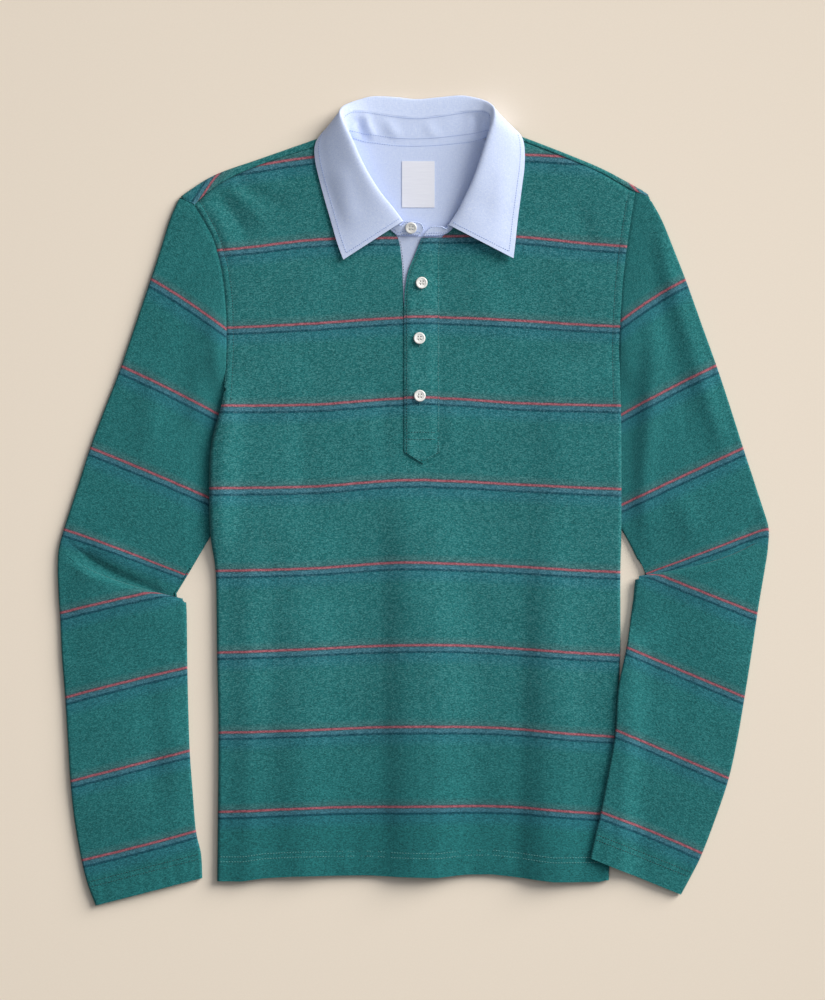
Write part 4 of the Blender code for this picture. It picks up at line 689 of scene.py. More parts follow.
def shoulder_lines(hand):
    """The wrap over one shoulder: lines of points from the forward seam over the fold."""
    outline = SHOULDER[hand]
    outer = spread(outline, COLUMNS)
    front = spread(SEAM[hand], COLUMNS)
    if hand == RIGHT:
        front[0] = Vector(RIGHT_WRAP_END)
    radius = (CHEST - FLOOR_LAYER) / 2
    direction = (Vector(outline[-1]) - Vector(outline[0])).normalized()
    normal = Vector((-direction.y, direction.x)) * (-hand)
    outer[0] += direction * SHOULDER_TIP_GAP
    lines = [[Vector((*(place + normal * GAP), CHEST)) for place in front]]
    for angle in WRAP_ANGLES:
        turn = math.radians(angle)
        away = radius * math.sin(turn) - radius - KNIT / 2
        height = FLOOR_LAYER + radius * (1 - math.cos(turn))
        lines.append([Vector((*(place + normal * away), height)) for place in outer])
    return lines


def shoulder_rows():
    """The back's first rows: both wraps over the shoulders, and its top edge."""
    left_lines, right_lines = shoulder_lines(LEFT), shoulder_lines(RIGHT)
    left_lines[-1][-1] = Vector((*BACK_NECK[0], FLOOR_LAYER))
    right_lines[-1][-1] = Vector((*BACK_NECK[-1], FLOOR_LAYER))
    neck = spread(BACK_NECK, NECK_COLUMNS)[1:-1]
    rows = []
    for left, right in zip(left_lines, right_lines):
        middle = [Vector((*place, left[-1].z)) for place in neck]
        rows.append([left[0]] * BACK_TURN_COLUMNS + left + middle + right[::-1]
                    + [right[0]] * BACK_TURN_COLUMNS)
    return rows


def back_line(top_line, y):
    """A row of the back below the shoulders, which keeps some of its top edge's curve."""
    share = max(0.0, (y - UNDERARM_Y) / (BACK_CURVE_TOP - UNDERARM_Y)) ** CURVE_FADE
    start, end = (Vector((back_edge(hand, y), y)) for hand in (LEFT, RIGHT))
    first, last = top_line[0], top_line[-1]
    line = []
    for step, place in enumerate(top_line):
        point = start.lerp(end, (place.x - first.x) / (last.x - first.x))
        point.y += (place - first.lerp(last, step / (len(top_line) - 1))).y * share
        line.append(Vector((*point, back_height(*point))))
    return line


def round_end(start, away, radius, angles, upwards):
    """Points of a turn past the end of a line, which curves up or down from its last point."""
    turns = [math.radians(angle) for angle in angles]
    return [start + away * radius * math.sin(turn)
            + Z * radius * (1 - math.cos(turn)) * upwards for turn in turns]


def back_strip(end, hand):
    """Points of the back past one end of a row: its turn over the fold and its strip."""
    outwards = Vector((hand, 0, 0))
    below = end - Z * FOLD_IN * 2
    return (round_end(end, outwards, FOLD_IN, BACK_TURN_ANGLES, -1)
            + [below - outwards * TUCK / 2, below - outwards * TUCK])


def low_height(x, y, row_index, hand):
    """Middle of a sleeve's lower layer: on the surface, or on the body's edge."""
    if hand == LEFT or row_index < FOREARM_ROW:
        return FLOOR_LAYER
    beside = x - at_height(SIDE[RIGHT], max(y, SIDE_END_Y))
    climb = 1 - smooth((beside - OVER_START) / OVER_RAMP)
    reached = smooth((row_index - FOREARM_ROW) / OVER_ROWS)
    return mix(FLOOR_LAYER, OVER_BODY, climb * reached)


def under_body(x, y, hand):
    """1 where a sleeve's end passes under the body, 0 well outside it."""
    outside = (x - at_height(SIDE[hand], y)) * hand
    return (1 - smooth((outside - UNDER_START) / UNDER_RAMP)) * smooth((UNDER_TOP - y) / UNDER_RUN)


def high_height(x, y, share, row, row_index, hand):
    """Middle of a sleeve's upper layer: share runs from its outer to its inner end."""
    if row_index < ELBOW_ROW:
        return mix(SLEEVE_TOP, TUCK_HEIGHTS[1], under_body(x, y, hand))
    low = low_height(x, y, row_index, hand)
    pressed = (low - FLOOR_LAYER) / (OVER_BODY - FLOOR_LAYER)
    free = mix(SLEEVE_TOP, row.height, smooth(share / SLEEVE_SETTLE))
    return mix(free, low + PRESSED, pressed)


def fold_height(folds, x, y):
    """Height that soft folds, which follow lines of points, add at a place."""
    height = 0.0
    spot = Vector((x, y))
    for fold in folds:
        nearest, length, reached = math.inf, 0.0, 0.0
        for start, end in zip(fold.line, fold.line[1:]):
            start, end = Vector(start), Vector(end)
            run = (end - start).length
            share = min(max((spot - start).dot(end - start) / run ** 2, 0.0), 1.0)
            away = (spot - start.lerp(end, share)).length
            if away < nearest:
                nearest, reached = away, length + share * run
            length += run
        if nearest < fold.half_width * 3:
            best = reached / length
            fade = smooth(best / fold.fade_in) * smooth((1 - best) / fold.fade_out)
            height += fold.height * fade * math.exp(-(nearest / fold.half_width) ** 2)
    return height * sizes().fold_depth


def unevenness(x, y, height, size, seed):
    """A slow, gentle rise and fall of cloth."""
    return height * NOISE_GAIN * noise.noise(Vector((x / size, y / size, seed)))


def sewn_trough(distance, line, half_width=STITCH_DIP):
    """The dip of a stitched line, from 0 to 1, at a distance from a seam or an edge."""
    return math.exp(-((distance - line) / half_width) ** 2)


def hem_relief(distance, along_edge):
    """Height of a turned-up edge: a double layer, two sewn lines and the puckers between."""
    doubled = HEM_DOUBLE * smooth((HEM_STITCH - distance) / HEM_DOUBLE_RUN + 0.5)
    dips = sewn_trough(distance, HEM_STITCH) + sewn_trough(distance, HEM_STITCH - HEM_TWIN)
    pucker = noise.noise(Vector((along_edge / PUCKER_WIDTH, distance / PUCKER_LENGTH, PUCKER_SEED)))
    near = sewn_trough(distance, PUCKER_PLACE, PUCKER_REACH)
    return doubled - HEM_DIP * dips + pucker * near


def front_height(x, y):
    """Middle of the front panel, with its folds, its seams' relief and the hem's."""
    raised = lift(x, y, *FRONT_LIFT)
    height = mix(CHEST, TUCK_HEIGHTS[3], raised)
    for ripple in RIPPLES:
        grown = smooth((ripple.top_y - y) / RIPPLE_RUN)
        height += ripple.height * grown * sewn_trough(x, ripple.x, ripple.half_width)
    soft = fold_height(BODY_FOLDS, x, y) + unevenness(x, y, *BODY_UNEVEN)
    height += soft * (1 - raised * FOLDS_PRESSED) + fold_height(SIDE_FOLDS, x, y)
    if y > UNDERARM_Y:
        inwards = in_from_side(x, y)
        height -= ARMHOLE_DIP * sewn_trough(inwards, ARMHOLE_STITCH)
        height += ARMHOLE_RISE * smooth((ARMHOLE_STITCH - inwards) / ARMHOLE_RISE_RUN)
    above_hem = y - across(HEM, x)
    if above_hem < HEM_RELIEF_RUN:
        height += hem_relief(above_hem, x) * (1 - raised * HEM_PRESSED)
    return height


def counted(depths):
    """Place in the stripe repeat of a point at these depths below neighbouring red lines."""
    if depths[0] <= 0:
        return depths[0] / STRIPE_PITCH
    for index, (upper, lower) in enumerate(zip(depths, depths[1:])):
        if lower <= 0:
            return index + upper / (upper - lower)
    return len(depths) - 1 + depths[-1] / STRIPE_PITCH


def body_stripe(x, y):
    """Millimetres of the stripe repeat from the shoulders' line to a point of the body."""
    station = 0
    while station < len(STRIPE_STATIONS) - 2 and x > STRIPE_STATIONS[station + 1]:
        station += 1
    left, right = STRIPE_STATIONS[station:station + 2]
    share = (x - left) / (right - left)
    if 0 <= share <= 1:
        lines = [curved(row, station, share) for row in BODY_STRIPES]
    else:
        share = min(max(share, -STRIPE_PAST), 1 + STRIPE_PAST)
        lines = [mix(*row[station:station + 2], share) for row in BODY_STRIPES]
    return counted([line - y for line in lines]) * STRIPE_PITCH


def upright(direction):
    """The level direction across another one, towards the collar."""
    normal = Vector((-direction.y, direction.x))
    return normal if normal.y > 0 else -normal


def below_line(line, x, y):
    """Signed distance of a point below a sleeve's stripe."""
    start, end = Vector((line.out_x, line.out_y)), Vector((line.in_x, line.in_y))
    direction = (end - start).normalized()
    offset = Vector((x, y)) - start
    share = min(max(offset.dot(direction) / (end - start).length, 0.0), 1.0)
    return line.bow * 4 * share * (1 - share) - offset.dot(upright(direction))


def sleeve_stripe(lines, place, x, y):
    """Place in the stripe repeat of a sleeve's point: the pleat joins its two families."""
    depths = [below_line(line, x, y) for line in lines]
    upper, lower = counted(depths[:4]), 4 + counted(depths[4:])
    return mix(upper, lower, smooth((place - PLEAT_FIRST) / (PLEAT_LAST - PLEAT_FIRST)))


def sizes():
    """The sizes that the panel shows."""
    return bpy.context.scene.shirt_sizes


def sheet(name, rows, wall, finish, weave, kept=None):
    """A cloth wall, in metres, whose middle runs through rows of points in millimetres.

    weave(line, column) gives the cloth's own coordinates there and its place down the dyed
    stripes, in millimetres, and kept(line, column) says which cells of the grid are cloth;
    without it all are.
    """
    columns = len(rows[0]) - 1
    lines = len(rows) - 1
    grid = bmesh.new()
    bmesh.ops.create_grid(grid, x_segments=columns, y_segments=lines, size=0.5)
    places = {vert: (round((vert.co.y + 0.5) * lines), round((vert.co.x + 0.5) * columns))
              for vert in grid.verts}
    if kept:
        for face in grid.faces[:]:
            centre = face.calc_center_median()
            if not kept(int((centre.y + 0.5) * lines), int((centre.x + 0.5) * columns)):
                grid.faces.remove(face)
        loose = [vert for vert in grid.verts if not vert.link_faces]
        bmesh.ops.delete(grid, geom=loose, context="VERTS")
    layer, dye = (grid.loops.layers.uv.new(use) for use in (WEAVE, DYE))
    for face in grid.faces:
        for loop in face.loops:
            u, v, stripe = weave(*places[loop.vert])
            loop[layer].uv = (u * MM, v * MM)
            loop[dye].uv = (u * MM, stripe * MM)
    for edge in grid.edges:
        edge.smooth = not edge.is_boundary
    for vert in grid.verts:
        line, column = places[vert]
        vert.co = rows[line][column] * MM
    made = linked(name, grid)
    made.data.shade_smooth()
    made.data.materials.append(finish)
    thick = made.modifiers.new("wall", "SOLIDIFY")
    thick.thickness = wall
    thick.offset = 0
    surfaces[name] = rows
    return made


def placed(name, data, place=(0, 0, 0)):
    """A new object in the scene."""
    made = bpy.data.objects.new(name, data)
    made.location = place
    bpy.context.scene.collection.objects.link(made)
    return made


def linked(name, shape):
    """Object in the scene, made from a bmesh that is freed."""
    mesh = bpy.data.meshes.new(name)
    shape.to_mesh(mesh)
    shape.free()
    return placed(name, mesh)


def stands_for(piece, node):
    """A piece that replaces a node of the solids and rides with the shirt."""
    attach(piece, "root")
    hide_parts(node)


def arc_lengths(rows, zero):
    """For each row, the length along it from its zero column to every column."""
    made = []
    for row in rows:
        lengths = [0.0]
        for start, end in zip(row, row[1:]):
            lengths.append(lengths[-1] + (end - start).length)
        made.append([length - lengths[zero] for length in lengths])
    return made


def front_row(place, row):
    """One line of the front panel's points, from the left strip to the right one."""
    strip = row.left_y <= TUCK_TOP_Y + CLOSE
    seam_share = max(0.0, 1 - place / SEAM_CURVE_ROWS) ** CURVE_FADE
    halves = []
    for hand, y, inner in ((LEFT, row.left_y, (row.in_left_x, row.in_left_y)),
                           (RIGHT, row.right_y, (row.in_right_x, row.in_right_y))):
        seam = SEAM[hand]
        ends = [(at_height(SIDE[hand], y) - hand * turn_reach(y), y), inner]
        points = []
        for step in range(COLUMNS + 1):
            share = (step / COLUMNS) ** EDGE_EASE
            spot = along(ends, share)
            spot += (along(seam, share) - along([seam[0], seam[-1]], share)) * seam_share
            spot.y += hem_wave(spot.x, spot.y)
            points.append(Vector((spot.x, spot.y, front_height(spot.x, spot.y))))
        share = turn_share(y)
        radius = FOLD_OUT + fold_height(SIDE_FOLDS, points[0].x, points[0].y) / 2 * share
        turned = turned_edge(points[0], Vector((hand, 0, 0)), radius, share, strip)
        for point in turned[-2:]:
            point.y += hem_wave(point.x, y) - hem_wave(points[0].x, y)
            point.y += STRIP_SHORT * hem_share(y)
        for point in turned + points[:DITCH_POINTS]:
            inwards = max(in_from_side(point.x, point.y), 0.0)
            point.z -= DITCH[hand] * sewn_trough(inwards, 0.0, DITCH_RUN) * (1 - share)
        halves.append((turned, points))
    (left_turn, left), (right_turn, right) = halves
    slot = spread([left[-1], right[-1]], SLOT_COLUMNS)[1:-1]
    for spot in slot:
        spot.z = front_height(spot.x, spot.y)
    return left_turn[::-1] + left + slot + right[::-1] + right_turn


def front_panel(finish):
    """Front: slot for the placket, neckline, armholes, turned-under sides and waved hem."""
    dense = finer(FRONT, ROW_STEPS)
    rows = [front_row(place, row) for place, row in dense]
    rows.insert(0, [point + Vector((0, SEAM_TUCK, -SEAM_UNDER)) for point in rows[0]])
    for point in rows[1]:
        point.z -= SEAM_SINK
    turn = len(TURN_ANGLES) + 2
    strip_line = 1 + next(line for line, (_, row) in enumerate(dense)
                          if row.left_y <= TUCK_TOP_Y + CLOSE)
    last = len(rows[0]) - 2
    lengths = arc_lengths(rows, len(rows[0]) // 2)

    def kept(line, column):
        from_side = min(column, last - column)
        if from_side < turn - HALF_TURN and line < strip_line:
            return False
        in_slot = turn + COLUMNS <= column < turn + COLUMNS + SLOT_COLUMNS
        return not (in_slot and line < SLOT_ROWS * ROW_STEPS + 1)

    def weave(line, column):
        stripe = body_stripe(*rows[line][column].xy)
        return lengths[line][column], stripe, stripe

    return sheet("front_cloth", rows, sizes().knit_wall, finish, weave, kept)


def wrap_weave(point, outline):
    """Cloth coordinates on the wrap over a shoulder: the back, unrolled past the fold."""
    start, end = Vector(outline[0]), Vector(outline[-1])
    direction = (end - start).normalized()
    share = min(max((point.xy - start).dot(direction) / (end - start).length, 0.0), 1.0)
    fold = along(outline, share)
    offset = point.xy - fold
    mirrored = fold + direction * offset.dot(direction) * 2 - offset
    lowered = BACK_SLOPE * (mirrored.x - SHOULDER[LEFT][0][0])
    stripe = body_stripe(mirrored.x, mirrored.y + lowered)
    return mirrored.x, stripe, stripe


def back_panel(finish):
    """Back: it wraps forward over the shoulders and turns under at the sides."""
    rows = shoulder_rows()
    first = len(rows) - 1
    top_line = [place.xy for place in rows[first][BACK_TURN_COLUMNS:-BACK_TURN_COLUMNS]]
    heights = BACK_ROWS[:1]
    for upper, lower in zip(BACK_ROWS, BACK_ROWS[1:]):
        heights += [upper + (lower - upper) * step / BACK_STEPS
                    for step in range(1, BACK_STEPS + 1)]
    for y in heights:
        line = back_line(top_line, y)
        rows.append(back_strip(line[0], LEFT)[::-1] + line + back_strip(line[-1], RIGHT))
    strip_line = first + 1 + heights.index(TUCK_TOP_Y)
    last = len(rows[0]) - 2
    reach = BACK_TURN_COLUMNS + COLUMNS

    def kept(line, column):
        from_side = min(column, last - column)
        if from_side < BACK_TURN_COLUMNS:
            return line >= strip_line
        return line >= first or from_side < reach

    def weave(line, column):
        point = rows[line][column]
        if line < first - 2:
            return wrap_weave(point, SHOULDER[LEFT if column < len(rows[0]) // 2 else RIGHT])
        stripe = body_stripe(point.x, point.y)
        return point.x, stripe, stripe

    return sheet("back_cloth", rows, sizes().knit_wall, finish, weave, kept)


def armhole(head, count, hand):
    """Points of a sleeve's end: past its first length it runs down the body's side."""
    points = spread(head, count)
    for step, point in enumerate(points):
        if step > count / (len(head) - 1) and point.y > UNDERARM_Y:
            point.x = at_height(SIDE[hand], point.y)
    return points


def sleeve_line(row, place, head, inner, hand):
    """Plan points of one section of one layer, from its outer to its inner end."""
    outer, inner = Vector((row.out_x, row.out_y)), Vector(inner)
    run = (inner - outer).normalized()
    towards_cuff = Vector((run.y, -run.x)) * -hand
    kept = max(0.0, 1 - place / HEAD_ROWS) ** HEAD_FADE
    points = []
    for step, end in enumerate(head):
        share = step / (len(head) - 1)
        spot = outer.lerp(inner, share) + (end - head[0].lerp(head[-1], share)) * kept
        points.append(spot + towards_cuff * row.sag * math.sin(math.pi * share ** SAG_SIDE))
    return points


def drawn_in(line, pull, inner):
    """Pulls the points near one end of a line back, and gives the direction out past it."""
    ordered = line[::-1] if inner else line
    away = (ordered[0].xy - ordered[2].xy).normalized().to_3d()
    for step, point in enumerate(ordered[:DRAWN_POINTS]):
        point -= away * pull * (1 - step / DRAWN_POINTS)
    return away


def sleeve_row(place, row, hand, cuff):
    """One closed section of a sleeve: upper layer, outer fold, lower layer, underarm."""
    head = HEAD[hand]
    low_head = [head[0], ARMHOLE[hand][1]] + head[2:]
    upper = sleeve_line(row, place, armhole(head, SLEEVE_COLUMNS, hand), (row.in_x, row.in_y), hand)
    lower = sleeve_line(row, place, spread(low_head, LOW_COLUMNS), (row.low_x, row.low_y), hand)
    top = []
    for step, spot in enumerate(upper):
        share = step / SLEEVE_COLUMNS
        height = high_height(spot.x, spot.y, share, row, place, hand)
        low = low_height(spot.x, spot.y, place, hand)
        free = (1 - (low - FLOOR_LAYER) / (OVER_BODY - FLOOR_LAYER)) * smooth(place / CROWN_ROWS)
        if place < ELBOW_ROW:
            free *= 1 - under_body(spot.x, spot.y, hand)
        height += SLEEVE_CROWN * math.sin(math.pi * share) * free
        soft = fold_height(SLEEVE_FOLDS[hand], spot.x, spot.y)
        soft += unevenness(spot.x, spot.y, *SLEEVE_UNEVEN, hand)
        height += soft * (1 - SLEEVE_PRESSED * (1 - free))
        to_cuff = (spot - cuff[0]).dot(cuff[1])
        if to_cuff < HEM_RELIEF_RUN:
            height += hem_relief(to_cuff, spot.x) * CUFF_RELIEF
        top.append(Vector((*spot, height)))
    bottom = [Vector((*spot, low_height(spot.x, spot.y, place, hand))) for spot in lower]
    radius = (top[0].z - bottom[0].z) / 2
    away = drawn_in(top, radius + KNIT / 2, False)
    drawn_in(bottom, radius + KNIT / 2, False)
    fold = round_end((top[0] + bottom[0]) / 2 + Z * radius, away, radius, FOLD_ANGLES, -1)
    radius = (top[-1].z - bottom[-1].z - GAP) / 2
    away = drawn_in(top, radius + KNIT / 2, True)
    low_away = drawn_in(bottom, radius + KNIT / 2, True)
    top_turn = round_end(top[-1], away, radius, INNER_ANGLES, -1)
    bottom_turn = round_end(bottom[-1], low_away, radius, INNER_ANGLES, 1)
    return top_turn[::-1] + top[::-1] + fold + bottom + bottom_turn


def sleeve(name, hand, finish):
    """A long sleeve, one tube with an underarm seam, pleated at the elbow."""
    sections = SLEEVE[hand]
    end = Vector((sections[-1].out_x, sections[-1].out_y))
    run = Vector((sections[-1].in_x, sections[-1].in_y)) - end
    cuff = end, upright(run.normalized())
    dense = finer(sections, ROW_STEPS, range(PLEAT_FIRST, PLEAT_LAST + 1))
    rows = [sleeve_row(place, row, hand, cuff) for place, row in dense]
    upper_count = len(INNER_ANGLES) + SLEEVE_COLUMNS + 1
    seam = Vector((-hand, HEAD_TUCK[0], 0)) * SEAM_TUCK
    first = [point.copy() for point in rows[0]]
    for column, point in enumerate(first):
        point += seam if column < upper_count else seam * HEAD_TUCK[1]
    rows.insert(0, first)
    for line, drop in zip(rows, HEAD_DROPS):
        for point in line[:upper_count]:
            point.z -= drop * (1 - under_body(point.x, point.y, hand))
    dense.insert(0, (0.0, dense[0][1]))
    lengths = arc_lengths(rows, upper_count)
    closed = [row.closed for row in sections] + [True]

    def kept(line, column):
        place = int(max(line - 1, 0) / ROW_STEPS)
        return column >= len(INNER_ANGLES) or (closed[place] and closed[place + 1])

    def weave(line, column):
        point = rows[line][column]
        stripe = sleeve_stripe(SLEEVE_STRIPES[hand], dense[line][0], point.x, point.y)
        return (lengths[line][column], stripe * STRIPE_PITCH,
                max(stripe, STRIPE_FIRST) * STRIPE_PITCH)

    return sheet(name, rows, sizes().knit_wall, finish, weave, kept)


def plain_weave(rows):
    """Cloth coordinates for a woven piece: lengths along its rows and its middle column."""
    middle = len(rows[0]) // 2
    lengths = arc_lengths(rows, middle)
    downs = arc_lengths([[row[middle] for row in rows]], 0)[0]
    return lambda line, column: (lengths[line][column], downs[line], 0.0)


def flat_weave(rows):
    """Cloth coordinates that are the plan places of a woven piece's points."""
    return lambda line, column: (*rows[line][column].xy, 0.0)


def collar_rows(flat, section):
    """Rows of a collar piece: a section at every smooth step through a table's values."""
    rows = [section([curved(column, index, step / STAND_FINER) for column in zip(*flat)])
            for index in range(len(flat) - 1) for step in range(STAND_FINER)]
    return rows + [section(flat[-1])]


def collar_stand(finish):
    """Stand: from the left tab's tip round the neck to the right tab's tip."""
    sections = LEFT_TAB + [(row.seam, row.top) for row in COLLAR] + RIGHT_TAB
    rows = collar_rows([(*seam, *top) for seam, top in sections], stand_line)
    return sheet("stand_cloth", rows, sizes().collar_wall, finish, plain_weave(rows))


def stand_line(values):
    """Points of the stand's section from its neck seam to its top, with its creases."""
    line = spread([values[:3], values[3:]], STAND_STEPS)
    for step, point in enumerate(line):
        middle = math.sin(math.pi * step / STAND_STEPS)
        point.z += fold_height(STAND_FOLDS, point.x, point.y) * middle
        point.z += unevenness(point.x, point.y, *STAND_UNEVEN)
    return line


def collar_leaf(finish):
    """Leaf: rolls over the stand and falls on the shoulders, under the neck at the back."""
    rows = collar_rows([(*row.top, *row.roll, *row.edge, row.bulge) for row in COLLAR], leaf_line)
    return sheet("leaf_cloth", rows, sizes().collar_wall, finish, plain_weave(rows))


def leaf_line(values):
    """Points of the leaf's section from the stand's top over the roll to its edge."""
    top, roll, edge = (Vector(values[start:start + 3]) for start in (0, 3, 6))
    bulge = values[9]
    start = top + (roll - top).normalized() * LEAF_START
    near = roll.lerp(edge, LEAF_NEAR) + Z * bulge
    middle = roll.lerp(edge, LEAF_MIDDLE) + Z * bulge * MIDDLE_BULGE
    line = spread([start, roll, near, middle, edge], LEAF_STEPS)
    if bulge > 0:
        for step, point in enumerate(line):
            share = step / LEAF_STEPS
            fallen = smooth((share - LEAF_FALL) / LEAF_FALL_RUN)
            to_edge = (1 - share) * 2 * (edge - middle).length
            point.z += fallen * fold_height(LEAF_FOLDS, point.x, point.y)
            point.z -= LEAF_DIP * sewn_trough(to_edge, LEAF_STITCH, LEAF_DIP_WIDTH) * fallen
    return line


def neck_facing(finish):
    """Half-moon facing on the inside of the back, from the neck seam down."""
    top = spread(BACK_NECK[1:-1], FACING_COLUMNS)
    rows = []
    for line in range(FACING_ROWS + 1):
        share = line / FACING_ROWS
        narrowed = math.cos(share * math.pi * FACING_NARROWS)
        rows.append([])
        for step, spot in enumerate(top):
            outwards = abs(step / FACING_COLUMNS * 2 - 1)
            low = FACING_BOTTOM_Y + FACING_ROUND * outwards ** FACING_CURVE
            rows[-1].append(Vector((FACING_MIDDLE_X + (spot.x - FACING_MIDDLE_X) * narrowed,
                                    spot.y + FACING_TUCK + (low - spot.y) * share,
                                    FACING_HEIGHT)))
    return sheet("facing_cloth", rows, sizes().woven_wall, finish, flat_weave(rows))


def neck_label(finish):
    """Blank woven label on the facing, which bows up a little between its sewn ends."""
    x, y = LABEL_CORNER
    width, height = LABEL_SIZE
    shares = [step / LABEL_STEPS for step in range(LABEL_STEPS + 1)]
    rows = [[Vector((x + width * right, y + height * (1 - down), LABEL_HEIGHT + LABEL_BOW
                     * math.sin(math.pi * right) * math.sin(math.pi * down) ** 0.5))
             for right in shares] for down in shares]
    made = sheet("label_tape", rows, LABEL_WALL * MM, finish, flat_weave(rows))
    made.data.shade_flat()
    return made


def band_rows(table, raised):
    """Rows of a placket band's points on the front panel, moved out."""
    rows = []
    for _, row in finer(table, BAND_FINER):
        line = spread([(row.left_x, row.left_y), (row.right_x, row.right_y)], BAND_COLUMNS)
        rows.append([Vector((*spot, front_height(spot.x, spot.y) + raised)) for spot in line])
    return rows


def placket_under(finish):
    """Under band, which fills the front's slot and shows in the open neck."""
    rows = band_rows(UNDER_BAND, 0.0)
    return sheet("under_band", rows, sizes().woven_wall, finish, flat_weave(rows))


def placket_top(finish):
    """Top band with its folded edges, sewn lines and pointed foot."""
    rows = band_rows(TOP_BAND, KNIT + GAP)
    foot = spread([(BAND_LEFT, BAND_FOOT_Y), BAND_POINT], BAND_COLUMNS // 2)
    foot += spread([BAND_POINT, (BAND_RIGHT, BAND_FOOT_Y)], BAND_COLUMNS // 2)[1:]
    rows += [[above.lerp(Vector((*spot, above.z)), share) for spot, above in zip(foot, rows[-1])]
             for share in FOOT_SHARES]
    for row in rows:
        left, right = row[0].x, row[-1].x
        for point in row:
            to_left, to_right = point.x - left, right - point.x
            over_slot = smooth((BAND_OPEN_Y - point.y) / BAND_OPEN_RUN)
            above_foot = smooth((point.y - BAND_SEWN_Y) / BAND_SEWN_RUN)
            edge = BAND_EDGE + BAND_SLOT_EDGE * over_slot
            point.z -= edge * sewn_trough(to_left, 0, BAND_EDGE_RUN)
            point.z += BAND_RISE * sewn_trough(to_left, BAND_RISE_X, BAND_RISE_WIDTH)
            point.z -= BAND_SETTLE * sewn_trough(to_right, 0, BAND_SETTLE_RUN) * above_foot
            dips = sewn_trough(to_left, BAND_STITCH, BAND_DIP)
            dips += sewn_trough(to_right, BAND_STITCH, BAND_DIP) * (1 - above_foot)
            dips += sum(sewn_trough(point.y, y, BAND_DIP) for y in BAND_BARS)
            point.z += unevenness(point.x, point.y, *BAND_UNEVEN) - BAND_DIP_DEPTH * dips

    def weave(line, column):
        point = rows[line][column]
        stripe = body_stripe(point.x, point.y)
        return point.x, stripe, stripe + BAND_SHIFT

    return sheet("top_band", rows, sizes().knit_wall, finish, weave)


def button(name, place, tilt, finish):
    """Four-hole button: rounded rim, shallow well and four holes through it."""
    where = Matrix.Translation(Vector(place) * MM) @ Matrix.Rotation(math.radians(tilt), 4, "X")
    disc = bmesh.new()
    verts = [disc.verts.new((radius * MM, 0, height * MM)) for radius, height in BUTTON_PROFILE]
    edges = [disc.edges.new(pair) for pair in zip(verts, verts[1:])]
    bmesh.ops.spin(disc, geom=verts + edges, cent=(0, 0, 0), axis=(0, 0, 1), angle=math.tau,
                   steps=BUTTON_SEGMENTS, use_merge=True, use_duplicate=False)
    bmesh.ops.remove_doubles(disc, verts=disc.verts[:], dist=MM / 100)
    bmesh.ops.recalc_face_normals(disc, faces=disc.faces[:])
    bmesh.ops.transform(disc, matrix=where, verts=disc.verts[:])
    made = linked(name, disc)
    made.data.shade_smooth()
    made.data.materials.append(finish)
    drill = bmesh.new()
    reach = HOLE_SPACING / math.sqrt(2) * MM
    for turn in range(4):
        angle = math.radians(45 + 90 * turn)
        offset = Matrix.Translation((reach * math.cos(angle), reach * math.sin(angle), 0))
        bmesh.ops.create_cone(
            drill, cap_ends=True, segments=HOLE_SEGMENTS, radius1=HOLE_RADIUS * MM,
            radius2=HOLE_RADIUS * MM, depth=BUTTON_THICKNESS * 3 * MM, matrix=where @ offset)
    cutter = linked(name + "_drill", drill)
    cut = made.modifiers.new("holes", "BOOLEAN")
    cut.operation = "DIFFERENCE"
    cut.object = cutter
    bpy.context.view_layer.update()
    graph = bpy.context.evaluated_depsgraph_get()
    drilled = bpy.data.meshes.new_from_object(made.evaluated_get(graph))
    made.modifiers.clear()
    made.data = drilled
    bpy.data.objects.remove(cutter)
    return made


def surface_point(name, line, column, raised):
    """Point on a cloth piece at fractional row and column, moved out along its normal."""
    rows = surfaces[name]
    line = min(max(line, 0.0), len(rows) - 1.001)
    column = min(max(column, 0.0), len(rows[0]) - 1.001)
    i, j = int(line), int(column)
    corner, right = rows[i][j], rows[i][j + 1]
    normal = (right - corner).cross(rows[i + 1][j] - corner).normalized()
    upper = corner.lerp(right, column - j)
    lower = rows[i + 1][j].lerp(rows[i + 1][j + 1], column - j)
    return upper.lerp(lower, line - i) + normal * math.copysign(raised, normal.z)


def along_surface(name, places, raised):
    """Points on a cloth piece at (row, column) places."""
    return [surface_point(name, line, column, raised) for line, column in places]


def on_front(places, raised):
    """Points over the front panel at (x, y) places."""
    return [Vector((x, y, front_height(x, y) + raised)) for x, y in places]


def set_back(points, distance):
    """Fractional index of the place that lies so far back from a line's last point."""
    walked, index = 0.0, len(points) - 1
    while walked < distance:
        step = (points[index] - points[index - 1]).length
        walked += step
        index -= 1
    return index + (walked - distance) / step


def sew(name, paths, thread, length, pitch, thickness=1.0):
    """One joined mesh of stitches along paths of points in millimetres.

    thickness is a share of the seams' thread.
    """
    radius = sizes().thread_radius / MM * thickness
    shape = bmesh.new()
    for path in paths:
        walked = 0.0
        due = pitch / 2
        for start, end in zip(path, path[1:]):
            run = (end - start).length
            while run > 1e-6 and due <= walked + run:
                middle = start.lerp(end, (due - walked) / run)
                turn = (end - start).to_track_quat("Z", "Y").to_matrix().to_4x4()
                size = Matrix.Diagonal((radius, radius, length / 2, 1))
                matrix = Matrix.Scale(MM, 4) @ Matrix.Translation(middle) @ turn @ size
                bmesh.ops.create_uvsphere(shape, u_segments=6, v_segments=4, radius=1.0,
                                          matrix=matrix)
                due += pitch
            walked += run
    made = linked(name, shape)
    made.data.shade_smooth()
    made.data.materials.append(thread)
    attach(made, "root")
    return made


